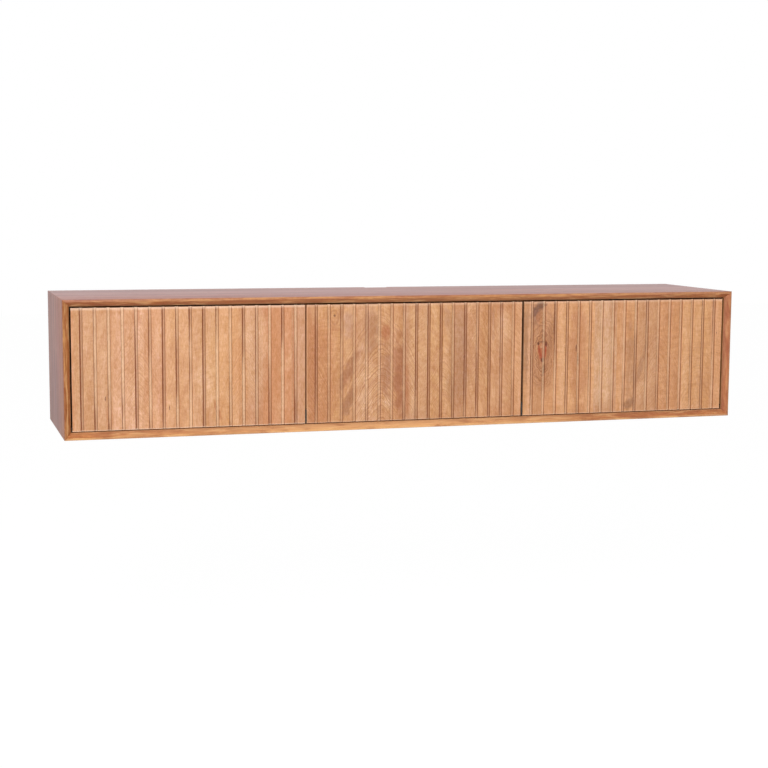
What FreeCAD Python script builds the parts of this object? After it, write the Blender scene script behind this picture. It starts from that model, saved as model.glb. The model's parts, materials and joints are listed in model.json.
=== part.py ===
import FreeCAD, Part
import Sketcher
import os
import re

# A floating media console: a mitred box of solid hardwood boards that hangs on a wall, with three drop-down
# flaps in one row. Millimetres. +X is to the right seen from the front, the front faces -Y, the wall is
# at +Y and +Z is up. The origin is the middle of the footprint, level with the underside.

DRIVING_SIZES = {
    # carcass
    "console_width": 1600,
    "console_depth": 350,
    "console_height": 304,
    "board": 15,
    "front_strip": 4.5,
    "bevel_depth": 10,
    "divider_board": 18,
    "divider_setback": 4.5,
    "panel_board": 6,
    "panel_joint": 0.5,
    "rail_board": 18,
    "rail_height": 60,
    "cable_hole_radius": 30,
    "cable_notch_width": 60,
    "wall_hole_spacing": 1200,
    "wall_hole_radius": 4,
    "wall_hole_access": 10,
    # joints of the carcass
    "spline_board": 3,
    "spline_width": 8,
    "spline_end": 20,
    "dowel_radius": 3,
    "dowel_length": 24,
    "dowel_in_board": 9,
    "dowel_inset": 40,
    "rail_dowel_spread": 15,
    # flaps
    "flap_recess": 12,
    "flap_board": 18,
    "flap_top_gap": 3.5,
    "flap_bottom_gap": 2,
    "flap_side_gap": 3,
    "flap_middle_gap": 4,
    "flap_arris": 3,
    "groove_count": 17,
    "groove_width": 7.4,
    "groove_depth": 3.5,
    "end_slat": 18,
    # pivots at the lower corners of each flap
    "pivot_inset": 6,
    "pin_radius": 2.5,
    "pin_in_board": 10,
    "pin_in_bush": 9,
    "pin_collar_radius": 4.5,
    "pin_collar_length": 2,
    "bush_radius": 4,
    "bush_length": 12,
    "turning_clearance": 0.05,
    # pivot brackets on the front edges of the dividers
    "bracket_plate": 2,
    "bracket_edge": 5,
    "bracket_ear_rise": 25,
    "bracket_rise": 45,
    "bracket_screw_offset": 5,
    # braked stays
    "stay_tail_clearance": 19,
    "stay_spread": 30,
    "stay_stand": 10,
    "stay_offset": 17.5,
    "stay_screw_offset": 30,
    "stay_screw_spread": 14,
    "stay_plate_margin": 6,
    "stay_ear": 3,
    "stay_ear_radius": 6.5,
    "stay_gap": 0.5,
    "rod_radius": 4,
    "rod_eye_radius": 7,
    "rod_eye_length": 5,
    "rod_collar_radius": 6.5,
    "rod_collar_length": 6,
    "sliding_clearance": 0.1,
    "rivet_radius": 2.5,
    "rivet_head_radius": 4.5,
    "rivet_head_length": 1.5,
    "housing_wall": 3,
    "housing_length": 20,
    "swivel_plate": 3,
    "swivel_plate_half": 12,
    "swivel_boss_radius": 8,
    "swivel_boss_length": 5,
    # push latches
    "latch_width": 20,
    "latch_length": 45,
    "latch_height": 18,
    "latch_drop": 11,
    "latch_wing": 8,
    "latch_wing_board": 3,
    "latch_wing_length": 20,
    "plunger_radius": 4,
    "plunger_length": 30,
    "plunger_stand": 6,
    "plunger_travel": 3,
    "strike_plate": 1.5,
    "strike_height": 12,
    "strike_screw_offset": 7,
    "strike_gap": 0.3,
    # screws
    "screw_radius": 1.75,
    "screw_length": 12,
    "screw_head_radius": 3,
    "screw_head_length": 2,
    "panel_screw_length": 18,
    "panel_screw_inset": 40,
}

WORKED_OUT_SIZES = {
    "half_width": "console_width / 2",
    "half_depth": "console_depth / 2",
    "inner_half": "half_width - board",
    "inner_top": "console_height - board",
    "inner_height": "console_height - 2 * board",
    "flap_front": "flap_recess - half_depth",
    "flap_back": "flap_front + flap_board",
    "flap_foot": "board + flap_bottom_gap",
    "flap_height": "inner_height - flap_top_gap - flap_bottom_gap",
    "flap_width": "(2 * inner_half - 2 * flap_side_gap - 2 * flap_middle_gap) / 3",
    "flap_step": "flap_width + flap_middle_gap",
    "groove_pitch": "(flap_width - 2 * end_slat - groove_width) / (groove_count - 1)",
    "divider_centre": "flap_step / 2",
    "divider_face": "divider_centre - divider_board / 2",
    "divider_front": "flap_back + divider_setback",
    "panel_back": "half_depth - rail_board",
    "panel_front": "panel_back - panel_board",
    "low_rail_middle": "board + rail_height / 2",
    "high_rail_middle": "inner_top - rail_height / 2",
    "spline_turn": "sqrt(2) / 4",
    "hinge_y": "flap_front + pivot_inset",
    "hinge_z": "flap_foot + pivot_inset",
    "bush_bore": "pin_radius + turning_clearance",
    "bracket_face": "divider_front - bracket_plate",
    "stay_pivot_depth": "flap_back + stay_stand - hinge_y",
    "stay_room": "panel_front - stay_tail_clearance - hinge_y - stay_pivot_depth",
    "stay_tail": "housing_length / 2 + stay_gap + rod_collar_length",
    "stay_open_share": "2 * sin((stay_spread + 90) * 0.5 deg)",
    "stay_arm": "(stay_room / cos(stay_spread * 0.5 deg) - stay_tail) / stay_open_share",
    "stay_lean": "asin(stay_pivot_depth / stay_arm)",
    "stay_y": "hinge_y + stay_arm * sin(stay_lean)",
    "stay_z": "hinge_z + stay_arm * cos(stay_lean)",
    "swivel_y": "hinge_y + stay_arm * sin(stay_lean + stay_spread * 1 deg)",
    "swivel_z": "hinge_z + stay_arm * cos(stay_lean + stay_spread * 1 deg)",
    "rod_tilt": "stay_lean + stay_spread * 0.5 deg",
    "rod_open_reach": "stay_arm * stay_open_share",
    "collar_start": "rod_open_reach + housing_length / 2 + stay_gap",
    "rod_eye_far": "stay_offset + rod_eye_length / 2",
    "stay_ear_near": "rod_eye_far + stay_gap",
    "stay_plate_near": "stay_offset - rod_radius",
    "stay_plate_far": "stay_screw_offset + stay_plate_margin",
    "swivel_face": "swivel_plate + swivel_boss_length",
    "housing_near": "swivel_face + stay_gap",
    "housing_far": "stay_offset + rod_radius + housing_wall",
    "housing_half": "rod_radius + housing_wall",
    "strike_face": "flap_back + strike_plate",
    "plunger_tip": "strike_face + strike_gap",
    "latch_front": "plunger_tip + plunger_stand",
    "latch_axis": "inner_top - latch_drop",
}

ALONG = {
    "+X": FreeCAD.Vector(1, 0, 0),
    "-X": FreeCAD.Vector(-1, 0, 0),
    "+Y": FreeCAD.Vector(0, 1, 0),
    "-Y": FreeCAD.Vector(0, -1, 0),
    "+Z": FreeCAD.Vector(0, 0, 1),
    "-Z": FreeCAD.Vector(0, 0, -1),
}

doc = FreeCAD.newDocument("media_console")
sheet = doc.addObject("Spreadsheet::Sheet", "sizes")
pieces = []


# ---------------------------------------------------------------- sheet and helpers

def fill_sheet():
    """Write each size in a row of its own: its name, then its number or its rule."""
    rows = [(name, str(number)) for name, number in DRIVING_SIZES.items()]
    rows += [(name, "=" + rule) for name, rule in WORKED_OUT_SIZES.items()]
    for row, (name, content) in enumerate(rows, start=1):
        sheet.set(f"A{row}", name)
        sheet.set(f"B{row}", content)
        sheet.setAlias(f"B{row}", name)
    doc.recompute()


def cells(rule):
    """Point each size named in a rule at its cell in the sheet."""
    return re.sub(r"[a-z]\w+", lambda word: "sizes." + word.group(), str(rule))


def bind(thing, **rules):
    """Tie properties of an object to rules."""
    for name, rule in rules.items():
        thing.setExpression(name, cells(rule))


def place(thing, point):
    """Tie the place of an object to three rules."""
    for axis, rule in zip("xyz", point):
        thing.setExpression("Placement.Base." + axis, cells(rule))


def tilt_with_rod(thing, point):
    """Set an object that was drawn along +Y at a point, tipped down like the closed stay's rod."""
    thing.Placement.Rotation = FreeCAD.Rotation(ALONG["-X"], 1)
    thing.setExpression("Placement.Rotation.Angle", "sizes.rod_tilt")
    place(thing, point)


def piece(thing, name):
    """Name a finished piece and keep it for export."""
    thing.Label = name
    pieces.append(thing)
    return thing


def block(name, low, size):
    """A box from its lowest corner and its three lengths."""
    box = doc.addObject("Part::Box", name)
    bind(box, Length=size[0], Width=size[1], Height=size[2])
    place(box, low)
    return box


def cylinder(name, start, direction, radius, length):
    """A cylinder that runs from the middle of one end along a direction."""
    bar = doc.addObject("Part::Cylinder", name)
    bind(bar, Radius=radius, Height=length)
    bar.Placement.Rotation = FreeCAD.Rotation(ALONG["+Z"], ALONG[direction])
    place(bar, start)
    return bar


def joined(name, solids):
    """One solid made of several that meet or overlap."""
    fuse = doc.addObject("Part::MultiFuse", name)
    fuse.Shapes = solids
    return fuse


def grouped(name, solids):
    """Separate solids that share one piece name."""
    group = doc.addObject("Part::Compound", name)
    group.Links = solids
    return group


def cut(name, base, tools):
    """A solid with others taken out of it."""
    result = doc.addObject("Part::Cut", name)
    result.Base = base
    result.Tool = tools[0] if len(tools) == 1 else grouped(name + "_cutters", tools)
    return result


def screw(name, head, direction, length="screw_length"):
    """A countersunk screw whose flat head lies at a point, and which points along a direction."""
    cone = doc.addObject("Part::Cone", name + "_head")
    bind(cone, Radius1="screw_head_radius", Radius2="screw_radius", Height="screw_head_length")
    cone.Placement.Rotation = FreeCAD.Rotation(ALONG["+Z"], ALONG[direction])
    place(cone, head)
    shank = cylinder(name + "_shank", head, direction, "screw_radius", length)
    return joined(name, [cone, shank])


def across(wall, inward, near, far):
    """The low end and the length of a stretch that lies between two distances from a wall."""
    low = f"{wall} + ({near})" if inward == "+X" else f"{wall} - ({far})"
    return low, f"({far}) - ({near})"


def away(wall, inward, distance):
    """The place at a distance from a wall."""
    return f"{wall} {inward[0]} ({distance})"


def outwards(inward):
    """The direction back towards the wall."""
    return "-X" if inward == "+X" else "+X"


# ---------------------------------------------------------------- sketched bodies

def start_body(name):
    """A body with its own origin planes."""
    return doc.addObject("PartDesign::Body", name)


def outline(body, name, plane, corners, offset="0"):
    """A closed sketch of straight lines whose corners are tied to rules."""
    sketch = body.newObject("Sketcher::SketchObject", name)
    support = [item for item in body.Origin.OriginFeatures if item.Role == plane][0]
    sketch.AttachmentSupport = [(support, "")]
    sketch.MapMode = "FlatFace"
    sketch.setExpression("AttachmentOffset.Base.z", cells(offset))
    points = [FreeCAD.Vector(*[sheet_value(rule) for rule in corner], 0) for corner in corners]
    count = len(points)
    for index, point in enumerate(points):
        line = Part.LineSegment(point, points[(index + 1) % count])
        sketch.addGeometry(line, False)
    for index in range(count):
        after = (index + 1) % count
        sketch.addConstraint(Sketcher.Constraint("Coincident", index, 2, after, 1))
    for index, corner in enumerate(corners):
        for kind, rule in zip(("DistanceX", "DistanceY"), corner):
            number = sketch.addConstraint(Sketcher.Constraint(kind, -1, 1, index, 1, sheet_value(rule)))
            sketch.setExpression(f"Constraints[{number}]", cells(rule))
    return sketch


def sheet_value(rule):
    """The number that a rule gives with the sheet as it stands."""
    number = sheet.evalExpression(cells(rule))
    return float(getattr(number, "Value", number))


def pad(body, sketch, name, length, symmetric=False, flip=False):
    """Material grown from a sketch."""
    feature = body.newObject("PartDesign::Pad", name)
    feature.Profile = sketch
    feature.SideType = "Symmetric" if symmetric else "One side"
    feature.Reversed = flip
    bind(feature, Length=length)
    return feature


def pocket_through(body, sketch, name):
    """Material taken away on both sides of a sketch, right through the body."""
    feature = body.newObject("PartDesign::Pocket", name)
    feature.Profile = sketch
    feature.Type = "ThroughAll"
    feature.SideType = "Symmetric"
    return feature


# ---------------------------------------------------------------- carcass

def corner_point(side, level, across_rule, up_rule):
    """A point given by its distances inwards from a corner of the box, seen from the front."""
    x = f"half_width - ({across_rule})" if side > 0 else f"({across_rule}) - half_width"
    z = f"console_height - ({up_rule})" if level > 0 else f"{up_rule}"
    return x, z


def level_board(name, level):
    """The top (level 1) or bottom (level -1) board: mitred at both ends, bevelled along its inner front."""
    body = start_body(name + "_body")
    outer_left = corner_point(-1, level, "0", "0")
    outer_right = corner_point(1, level, "0", "0")
    inner_left = corner_point(-1, level, "board", "board")
    inner_right = corner_point(1, level, "board", "board")
    corners = [outer_left, outer_right, inner_right, inner_left]
    profile = outline(body, name + "_profile", "XZ_Plane", corners)
    pad(body, profile, name + "_blank", "console_depth", symmetric=True)
    strip_edge = corner_point(1, level, "0", "front_strip")[1]
    inner_face = corner_point(1, level, "0", "board")[1]
    bevel_corners = [
        ("-half_depth", strip_edge),
        ("bevel_depth - half_depth", inner_face),
        ("-half_depth", inner_face),
    ]
    bevel = outline(body, name + "_bevel", "YZ_Plane", bevel_corners)
    pocket_through(body, bevel, name + "_bevel_cut")
    return body


def side_board(name, side):
    """The left (side -1) or right (side 1) board, mitred and bevelled like the top and the bottom."""
    body = start_body(name + "_body")
    outer_low = corner_point(side, -1, "0", "0")
    outer_high = corner_point(side, 1, "0", "0")
    inner_low = corner_point(side, -1, "board", "board")
    inner_high = corner_point(side, 1, "board", "board")
    corners = [outer_low, outer_high, inner_high, inner_low]
    profile = outline(body, name + "_profile", "XZ_Plane", corners)
    pad(body, profile, name + "_blank", "console_depth", symmetric=True)
    strip_edge = corner_point(side, 1, "front_strip", "0")[0]
    inner_face = corner_point(side, 1, "board", "0")[0]
    bevel_corners = [
        (strip_edge, "-half_depth"),
        (inner_face, "bevel_depth - half_depth"),
        (inner_face, "-half_depth"),
    ]
    bevel = outline(body, name + "_bevel", "XY_Plane", bevel_corners)
    pocket_through(body, bevel, name + "_bevel_cut")
    return body


def mitre_spline(name, side, level):
    """A thin tongue that crosses the middle of one mitre square to it."""
    middle = corner_point(side, level, "board / 2", "board / 2")
    lean = side * level
    tongue = doc.addObject("Part::Box", name)
    bind(tongue, Length="spline_width", Width="console_depth - 2 * spline_end", Height="spline_board")
    tongue.Placement.Rotation = FreeCAD.Rotation(ALONG["+Y"], 45 * lean)
    x = f"{middle[0]} - (spline_width + {lean} * spline_board) * spline_turn"
    z = f"{middle[1]} + ({lean} * spline_width - spline_board) * spline_turn"
    place(tongue, (x, "spline_end - half_depth", z))
    return tongue


def divider(name, side):
    """An upright between two compartments. The flaps in front of it hide it."""
    body = start_body(name + "_body")
    corners = [
        ("divider_front", "board"),
        ("panel_front", "board"),
        ("panel_front", "inner_top"),
        ("divider_front", "inner_top"),
    ]
    offset = f"{side} * divider_centre - divider_board / 2"
    profile = outline(body, name + "_profile", "YZ_Plane", corners, offset)
    pad(body, profile, name + "_blank", "divider_board")
    return body


def divider_dowels():
    """Three dowels at each end of each divider, set into the top and the bottom board."""
    places = ["divider_front + dowel_inset", "(divider_front + panel_front) / 2", "panel_front - dowel_inset"]
    dowels = []
    for side in (-1, 1):
        for index, y in enumerate(places):
            low = (f"{side} * divider_centre", y, "board - dowel_in_board")
            high = (f"{side} * divider_centre", y, "inner_top + dowel_in_board")
            dowels.append(cylinder(f"low_dowel_{side}_{index}", low, "+Z", "dowel_radius", "dowel_length"))
            dowels.append(cylinder(f"high_dowel_{side}_{index}", high, "-Z", "dowel_radius", "dowel_length"))
    return grouped("divider_dowel_set", dowels)


def rail_dowels():
    """Two dowels in each end of both hanging rails, set into the side boards."""
    y = "panel_back + rail_board / 2"
    dowels = []
    for side, inward in ((-1, "+X"), (1, "-X")):
        x = f"{side} * (inner_half + dowel_in_board)"
        for rail, middle in (("low", "low_rail_middle"), ("high", "high_rail_middle")):
            for step in (-1, 1):
                z = f"{middle} + {step} * rail_dowel_spread"
                name = f"{rail}_rail_dowel_{side}_{step}"
                dowels.append(cylinder(name, (x, y, z), inward, "dowel_radius", "dowel_length"))
    return grouped("rail_dowel_set", dowels)


def lower_rail_blank():
    """A board behind the back panels along the bottom board, between the sides."""
    return block("low_rail_blank", ("-inner_half", "panel_back", "board"), ("2 * inner_half", "rail_board", "rail_height"))


def upper_rail_blank(name, side):
    """A board under the top board, from one side to the cable notch in the middle."""
    low_x = "-inner_half" if side < 0 else "cable_notch_width / 2"
    size = ("inner_half - cable_notch_width / 2", "rail_board", "rail_height")
    return block(name, (low_x, "panel_back", "inner_top - rail_height"), size)


def wall_hole(name, side, middle):
    """A hole through a rail for one of the four wall screws."""
    start = (f"{side} * wall_hole_spacing / 2", "panel_back", middle)
    return cylinder(name, start, "+Y", "wall_hole_radius", "rail_board")


def cable_notch():
    """The space that a cable notch takes from the middle of the top board's back edge."""
    low = ("-cable_notch_width / 2", "panel_back", "inner_top")
    return block("cable_notch", low, ("cable_notch_width", "rail_board", "board"))


def panel_span(slot):
    """The ends of the back panel of one compartment: slot -1, 0 or 1 from left to right."""
    joint = "panel_joint / 2"
    if slot < 0:
        return "-inner_half", f"-divider_centre - {joint}"
    if slot > 0:
        return f"divider_centre + {joint}", "inner_half"
    return f"{joint} - divider_centre", f"divider_centre - {joint}"


def back_panel(name, slot, screws):
    """A thin panel with a round cable hole in its middle and room for the wall screws."""
    left, right = panel_span(slot)
    blank = block(name + "_blank", (left, "panel_front", "board"), (f"{right} - ({left})", "panel_board", "inner_height"))
    middle = (f"({left} + {right}) / 2", "panel_front", "console_height / 2")
    cutters = [cylinder(name + "_cable_hole", middle, "+Y", "cable_hole_radius", "panel_board"), screws]
    if slot:
        for level in ("low_rail_middle", "high_rail_middle"):
            start = (f"{slot} * wall_hole_spacing / 2", "panel_front", level)
            cutters.append(cylinder(f"{name}_{level}", start, "+Y", "wall_hole_access", "panel_board"))
    return piece(cut(name, blank, cutters), name)


def panel_screws():
    """Four screws that hold each back panel to the rails."""
    screws = []
    for slot in (-1, 0, 1):
        left, right = panel_span(slot)
        for end, x in enumerate((f"{left} + panel_screw_inset", f"{right} - panel_screw_inset")):
            for level in ("low_rail_middle", "high_rail_middle"):
                name = f"panel_screw_{slot}_{end}_{level}"
                screws.append(screw(name, (x, "panel_front", level), "+Y", "panel_screw_length"))
    return grouped("panel_screw_set", screws)


# ---------------------------------------------------------------- flaps

def flap_body(name, middle):
    """One flap: a solid panel with eased front edges and upright grooves that leave flat slats."""
    body = start_body(name + "_body")
    left = f"{middle} - flap_width / 2"
    right = f"{middle} + flap_width / 2"
    corners = [
        (left, "flap_foot"),
        (right, "flap_foot"),
        (right, "flap_foot + flap_height"),
        (left, "flap_foot + flap_height"),
    ]
    front = outline(body, name + "_face", "XZ_Plane", corners, "-flap_front")
    blank = pad(body, front, name + "_blank", "flap_board", flip=True)
    doc.recompute()
    arris = body.newObject("PartDesign::Fillet", name + "_arris")
    arris.Base = (blank, long_front_edges(blank.Shape))
    bind(arris, Radius="flap_arris")
    doc.recompute()
    groove_left = f"{left} + end_slat"
    groove_right = f"{groove_left} + groove_width"
    groove_corners = [
        (groove_left, "flap_foot"),
        (groove_right, "flap_foot"),
        (groove_right, "flap_foot + flap_height"),
        (groove_left, "flap_foot + flap_height"),
    ]
    groove_face = outline(body, name + "_groove_face", "XZ_Plane", groove_corners, "-flap_front")
    groove = body.newObject("PartDesign::Pocket", name + "_groove")
    groove.Profile = groove_face
    bind(groove, Length="groove_depth")
    doc.recompute()
    row = body.newObject("PartDesign::LinearPattern", name + "_grooves")
    row.Originals = [groove]
    row.Direction = (groove_face, ["H_Axis"])
    bind(row, Length="groove_pitch * (groove_count - 1)", Occurrences="groove_count")
    body.Tip = row
    return body


def long_front_edges(shape):
    """The names of the upper and the lower edge of a panel's front face."""
    front = shape.BoundBox.YMin
    names = []
    for number, edge in enumerate(shape.Edges, start=1):
        box = edge.BoundBox
        if abs(box.YMax - front) < 0.01 and box.XLength > box.ZLength:
            names.append(f"Edge{number}")
    return names


def bush_seat(name, middle, end):
    """The round seat of a bush in the left (-1) or right (1) end of a flap."""
    start = (f"{middle} {sign(end)} flap_width / 2", "hinge_y", "hinge_z")
    return cylinder(name, start, "-X" if end > 0 else "+X", "bush_radius", "bush_length")


def sign(number):
    """The sign of a number as it stands in a rule."""
    return "+" if number > 0 else "-"


def bush(name, middle, end):
    """A brass sleeve pressed into the end of a flap, in which a pivot pin turns."""
    start = (f"{middle} {sign(end)} flap_width / 2", "hinge_y", "hinge_z")
    bore = cylinder(name + "_bore", start, "-X" if end > 0 else "+X", "bush_bore", "bush_length")
    return cut(name, bush_seat(name + "_sleeve", middle, end), [bore])


def side_pivot_pin(name, side, inward):
    """A collared pin pressed into a side board, which carries the outer end of a flap."""
    start = (f"{side} * (inner_half + pin_in_board)", "hinge_y", "hinge_z")
    length = "pin_in_board + flap_side_gap + pin_in_bush"
    shank = cylinder(name + "_shank", start, inward, "pin_radius", length)
    seat = (f"{side} * inner_half", "hinge_y", "hinge_z")
    collar = cylinder(name + "_collar", seat, inward, "pin_collar_radius", "pin_collar_length")
    return joined(name + "_pin", [shank, collar])


def centre_pivot_bracket(name, side, screws):
    """A plate on the front edge of a divider with a thin ear in the gap between two flaps."""
    middle = f"{side} * divider_centre"
    foot = "hinge_z - bracket_edge"
    plate_low = (f"{middle} - divider_board / 2", "bracket_face", foot)
    plate = block(name + "_plate", plate_low, ("divider_board", "bracket_plate", "bracket_rise"))
    ear_low = (f"{middle} - bracket_plate / 2", "hinge_y - bracket_edge", foot)
    ear_size = ("bracket_plate", "bracket_face - hinge_y + bracket_edge", "bracket_edge + bracket_ear_rise")
    ear = block(name + "_ear", ear_low, ear_size)
    reach = "(flap_middle_gap / 2 + pin_in_bush)"
    pin_start = (f"{middle} - {reach}", "hinge_y", "hinge_z")
    pin = cylinder(name + "_pin", pin_start, "+X", "pin_radius", f"2 * {reach}")
    return cut(name + "_bracket", joined(name + "_blank", [plate, ear, pin]), [screws])


def centre_bracket_screws(side):
    """Two screws, one on each side of the ear."""
    screws = []
    rises = ("hinge_z", "hinge_z + bracket_rise - 2 * bracket_edge")
    for offset, z in zip((-1, 1), rises):
        x = f"{side} * divider_centre + {offset} * bracket_screw_offset"
        screws.append(screw(f"centre_bracket_screw_{side}_{offset}", (x, "bracket_face", z), "+Y"))
    return grouped(f"centre_bracket_screws_{side}", screws)


# ---------------------------------------------------------------- braked stays

def flap_bracket(name, wall, inward, screws):
    """A plate on the back of a flap with an ear that holds the eye of the stay's rod."""
    plate_x, plate_width = across(wall, inward, "stay_plate_near", "stay_plate_far")
    half = "(stay_screw_spread + stay_plate_margin)"
    plate_low = (plate_x, "flap_back", f"stay_z - {half}")
    plate = block(name + "_plate", plate_low, (plate_width, "bracket_plate", f"2 * {half}"))
    ear_x, ear_width = across(wall, inward, "stay_ear_near", "stay_ear_near + stay_ear")
    ear_low = (ear_x, "flap_back", "stay_z - stay_ear_radius")
    ear = block(name + "_ear", ear_low, (ear_width, "stay_y - flap_back", "2 * stay_ear_radius"))
    start = (away(wall, inward, "stay_ear_near"), "stay_y", "stay_z")
    nose = cylinder(name + "_nose", start, inward, "stay_ear_radius", "stay_ear")
    bore = cylinder(name + "_bore", start, inward, "rivet_radius + turning_clearance", "stay_ear")
    return cut(name, joined(name + "_blank", [plate, ear, nose]), [bore, screws])


def flap_bracket_screws(name, wall, inward):
    """Two screws of a flap bracket, one above the other."""
    x = away(wall, inward, "stay_screw_offset")
    y = "flap_back + bracket_plate"
    screws = []
    for step in (-1, 1):
        head = (x, y, f"stay_z + {step} * stay_screw_spread")
        screws.append(screw(f"{name}_{step}", head, "-Y"))
    return grouped(name, screws)


def stay_rod(name, wall, inward):
    """A steel rod with a riveted eye at the flap and a stop collar at its tail, drawn along +Y."""
    eye_start = (f"0 {outwards(inward)[0]} rod_eye_length / 2", "0", "0")
    eye = cylinder(name + "_eye", eye_start, inward, "rod_eye_radius", "rod_eye_length")
    bar = cylinder(name + "_bar", ("0", "0", "0"), "+Y", "rod_radius", "collar_start + rod_collar_length")
    collar = cylinder(name + "_collar", ("0", "collar_start", "0"), "+Y", "rod_collar_radius", "rod_collar_length")
    rivet_length = "rod_eye_length / 2 + stay_ear + 2 * stay_gap"
    rivet = cylinder(name + "_rivet", ("0", "0", "0"), inward, "rivet_radius", rivet_length)
    head_start = (away("0", inward, rivet_length), "0", "0")
    head = cylinder(name + "_rivet_head", head_start, inward, "rivet_head_radius", "rivet_head_length")
    rounded_bar = flattened_at_eye(name, bar)
    rod = joined(name + "_rod", [eye, rounded_bar, collar, rivet, head])
    tilt_with_rod(rod, (away(wall, inward, "stay_offset"), "stay_y", "stay_z"))
    return rod


def flattened_at_eye(name, bar):
    """The bar without the part that would stand out of the flat eye."""
    cutters = []
    for side in (-1, 1):
        x = f"{side} * (rod_eye_length / 2 + rod_radius) - rod_radius"
        low = (x, "-rod_eye_radius", "-rod_eye_radius")
        size = ("2 * rod_radius", "2 * rod_eye_radius", "2 * rod_eye_radius")
        cutters.append(block(f"{name}_flat_{side}", low, size))
    return cut(name + "_flattened", bar, cutters)


def swivel_bracket(name, wall, inward, screws):
    """A plate on the side of a compartment with a boss, in which the stay's housing turns."""
    plate_x, plate_width = across(wall, inward, "0", "swivel_plate")
    plate_low = (plate_x, "swivel_y - swivel_plate_half", "swivel_z - stay_screw_spread - stay_plate_margin")
    plate_size = (plate_width, "2 * swivel_plate_half", "2 * (stay_screw_spread + stay_plate_margin)")
    plate = block(name + "_plate", plate_low, plate_size)
    start = (wall, "swivel_y", "swivel_z")
    boss = cylinder(name + "_boss", start, inward, "swivel_boss_radius", "swivel_face")
    bore = cylinder(name + "_bore", start, inward, "rivet_radius + turning_clearance", "swivel_face")
    recess_depth = "rivet_head_length + 2 * stay_gap"
    recess = cylinder(name + "_recess", start, inward, "rivet_head_radius + stay_gap", recess_depth)
    return cut(name, joined(name + "_blank", [plate, boss]), [bore, recess, screws])


def swivel_screws(name, wall, inward):
    """Two screws of a swivel bracket, above and below its boss."""
    screws = []
    for step in (-1, 1):
        head = (away(wall, inward, "swivel_plate"), "swivel_y", f"swivel_z + {step} * stay_screw_spread")
        screws.append(screw(f"{name}_{step}", head, outwards(inward)))
    return grouped(name, screws)


def swivel_housing(name, wall, inward):
    """The brake housing that the rod slides through, on a rivet that turns in the bracket's boss."""
    outward = outwards(inward)
    x, width = across("0", inward, "housing_near - stay_offset", "housing_far - stay_offset")
    low = (x, "-housing_length / 2", "-housing_half")
    shell = block(name + "_shell", low, (width, "housing_length", "2 * housing_half"))
    stem_start = (away("0", outward, "stay_offset - housing_near"), "0", "0")
    stem_length = "housing_near - stay_gap"
    stem = cylinder(name + "_stem", stem_start, outward, "rivet_radius", stem_length)
    head_start = (away("0", outward, "stay_offset - stay_gap - rivet_head_length"), "0", "0")
    head = cylinder(name + "_stem_head", head_start, outward, "rivet_head_radius", "rivet_head_length")
    bore_start = ("0", "-housing_length / 2", "0")
    bore = cylinder(name + "_slide", bore_start, "+Y", "rod_radius + sliding_clearance", "housing_length")
    housing = cut(name + "_housing", joined(name + "_blank", [shell, stem, head]), [bore])
    tilt_with_rod(housing, (away(wall, inward, "stay_offset"), "swivel_y", "swivel_z"))
    return housing


# ---------------------------------------------------------------- push latches

def latch_screws(name, middle):
    """Two screws through the wings of a latch, up into the top board."""
    screws = []
    for step in (-1, 1):
        x = f"{middle} + {step} * (latch_width + latch_wing) / 2"
        head = (x, "latch_front + latch_wing_length / 2", "inner_top - latch_wing_board")
        screws.append(screw(f"{name}_{step}", head, "+Z"))
    return grouped(name, screws)


def latch_housing(name, middle, screws):
    """A housing under the top board with a blind bore for the plunger and two wings for screws."""
    low = (f"{middle} - latch_width / 2", "latch_front", "inner_top - latch_height")
    shell = block(name + "_shell", low, ("latch_width", "latch_length", "latch_height"))
    wing_low = (f"{middle} - latch_width / 2 - latch_wing", "latch_front", "inner_top - latch_wing_board")
    wing_size = ("latch_width + 2 * latch_wing", "latch_wing_length", "latch_wing_board")
    wings = block(name + "_wings", wing_low, wing_size)
    depth = "plunger_length - plunger_stand + plunger_travel + strike_gap"
    start = (middle, "latch_front", "latch_axis")
    bore = cylinder(name + "_bore", start, "+Y", "plunger_radius + sliding_clearance", depth)
    return cut(name, joined(name + "_blank", [shell, wings]), [bore, screws])


def strike_screws(name, middle):
    """Two screws of a strike plate, left and right of the plunger."""
    screws = []
    for step in (-1, 1):
        head = (f"{middle} + {step} * strike_screw_offset", "strike_face", "latch_axis")
        screws.append(screw(f"{name}_{step}", head, "-Y"))
    return grouped(name, screws)


def strike_plate(name, middle, screws):
    """A steel plate on the back of a flap, which the magnet in the plunger's tip holds."""
    low = (f"{middle} - latch_width / 2", "flap_back", "latch_axis - strike_height / 2")
    return cut(name, block(name + "_blank", low, ("latch_width", "strike_plate", "strike_height")), [screws])


# ---------------------------------------------------------------- the whole console

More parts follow.
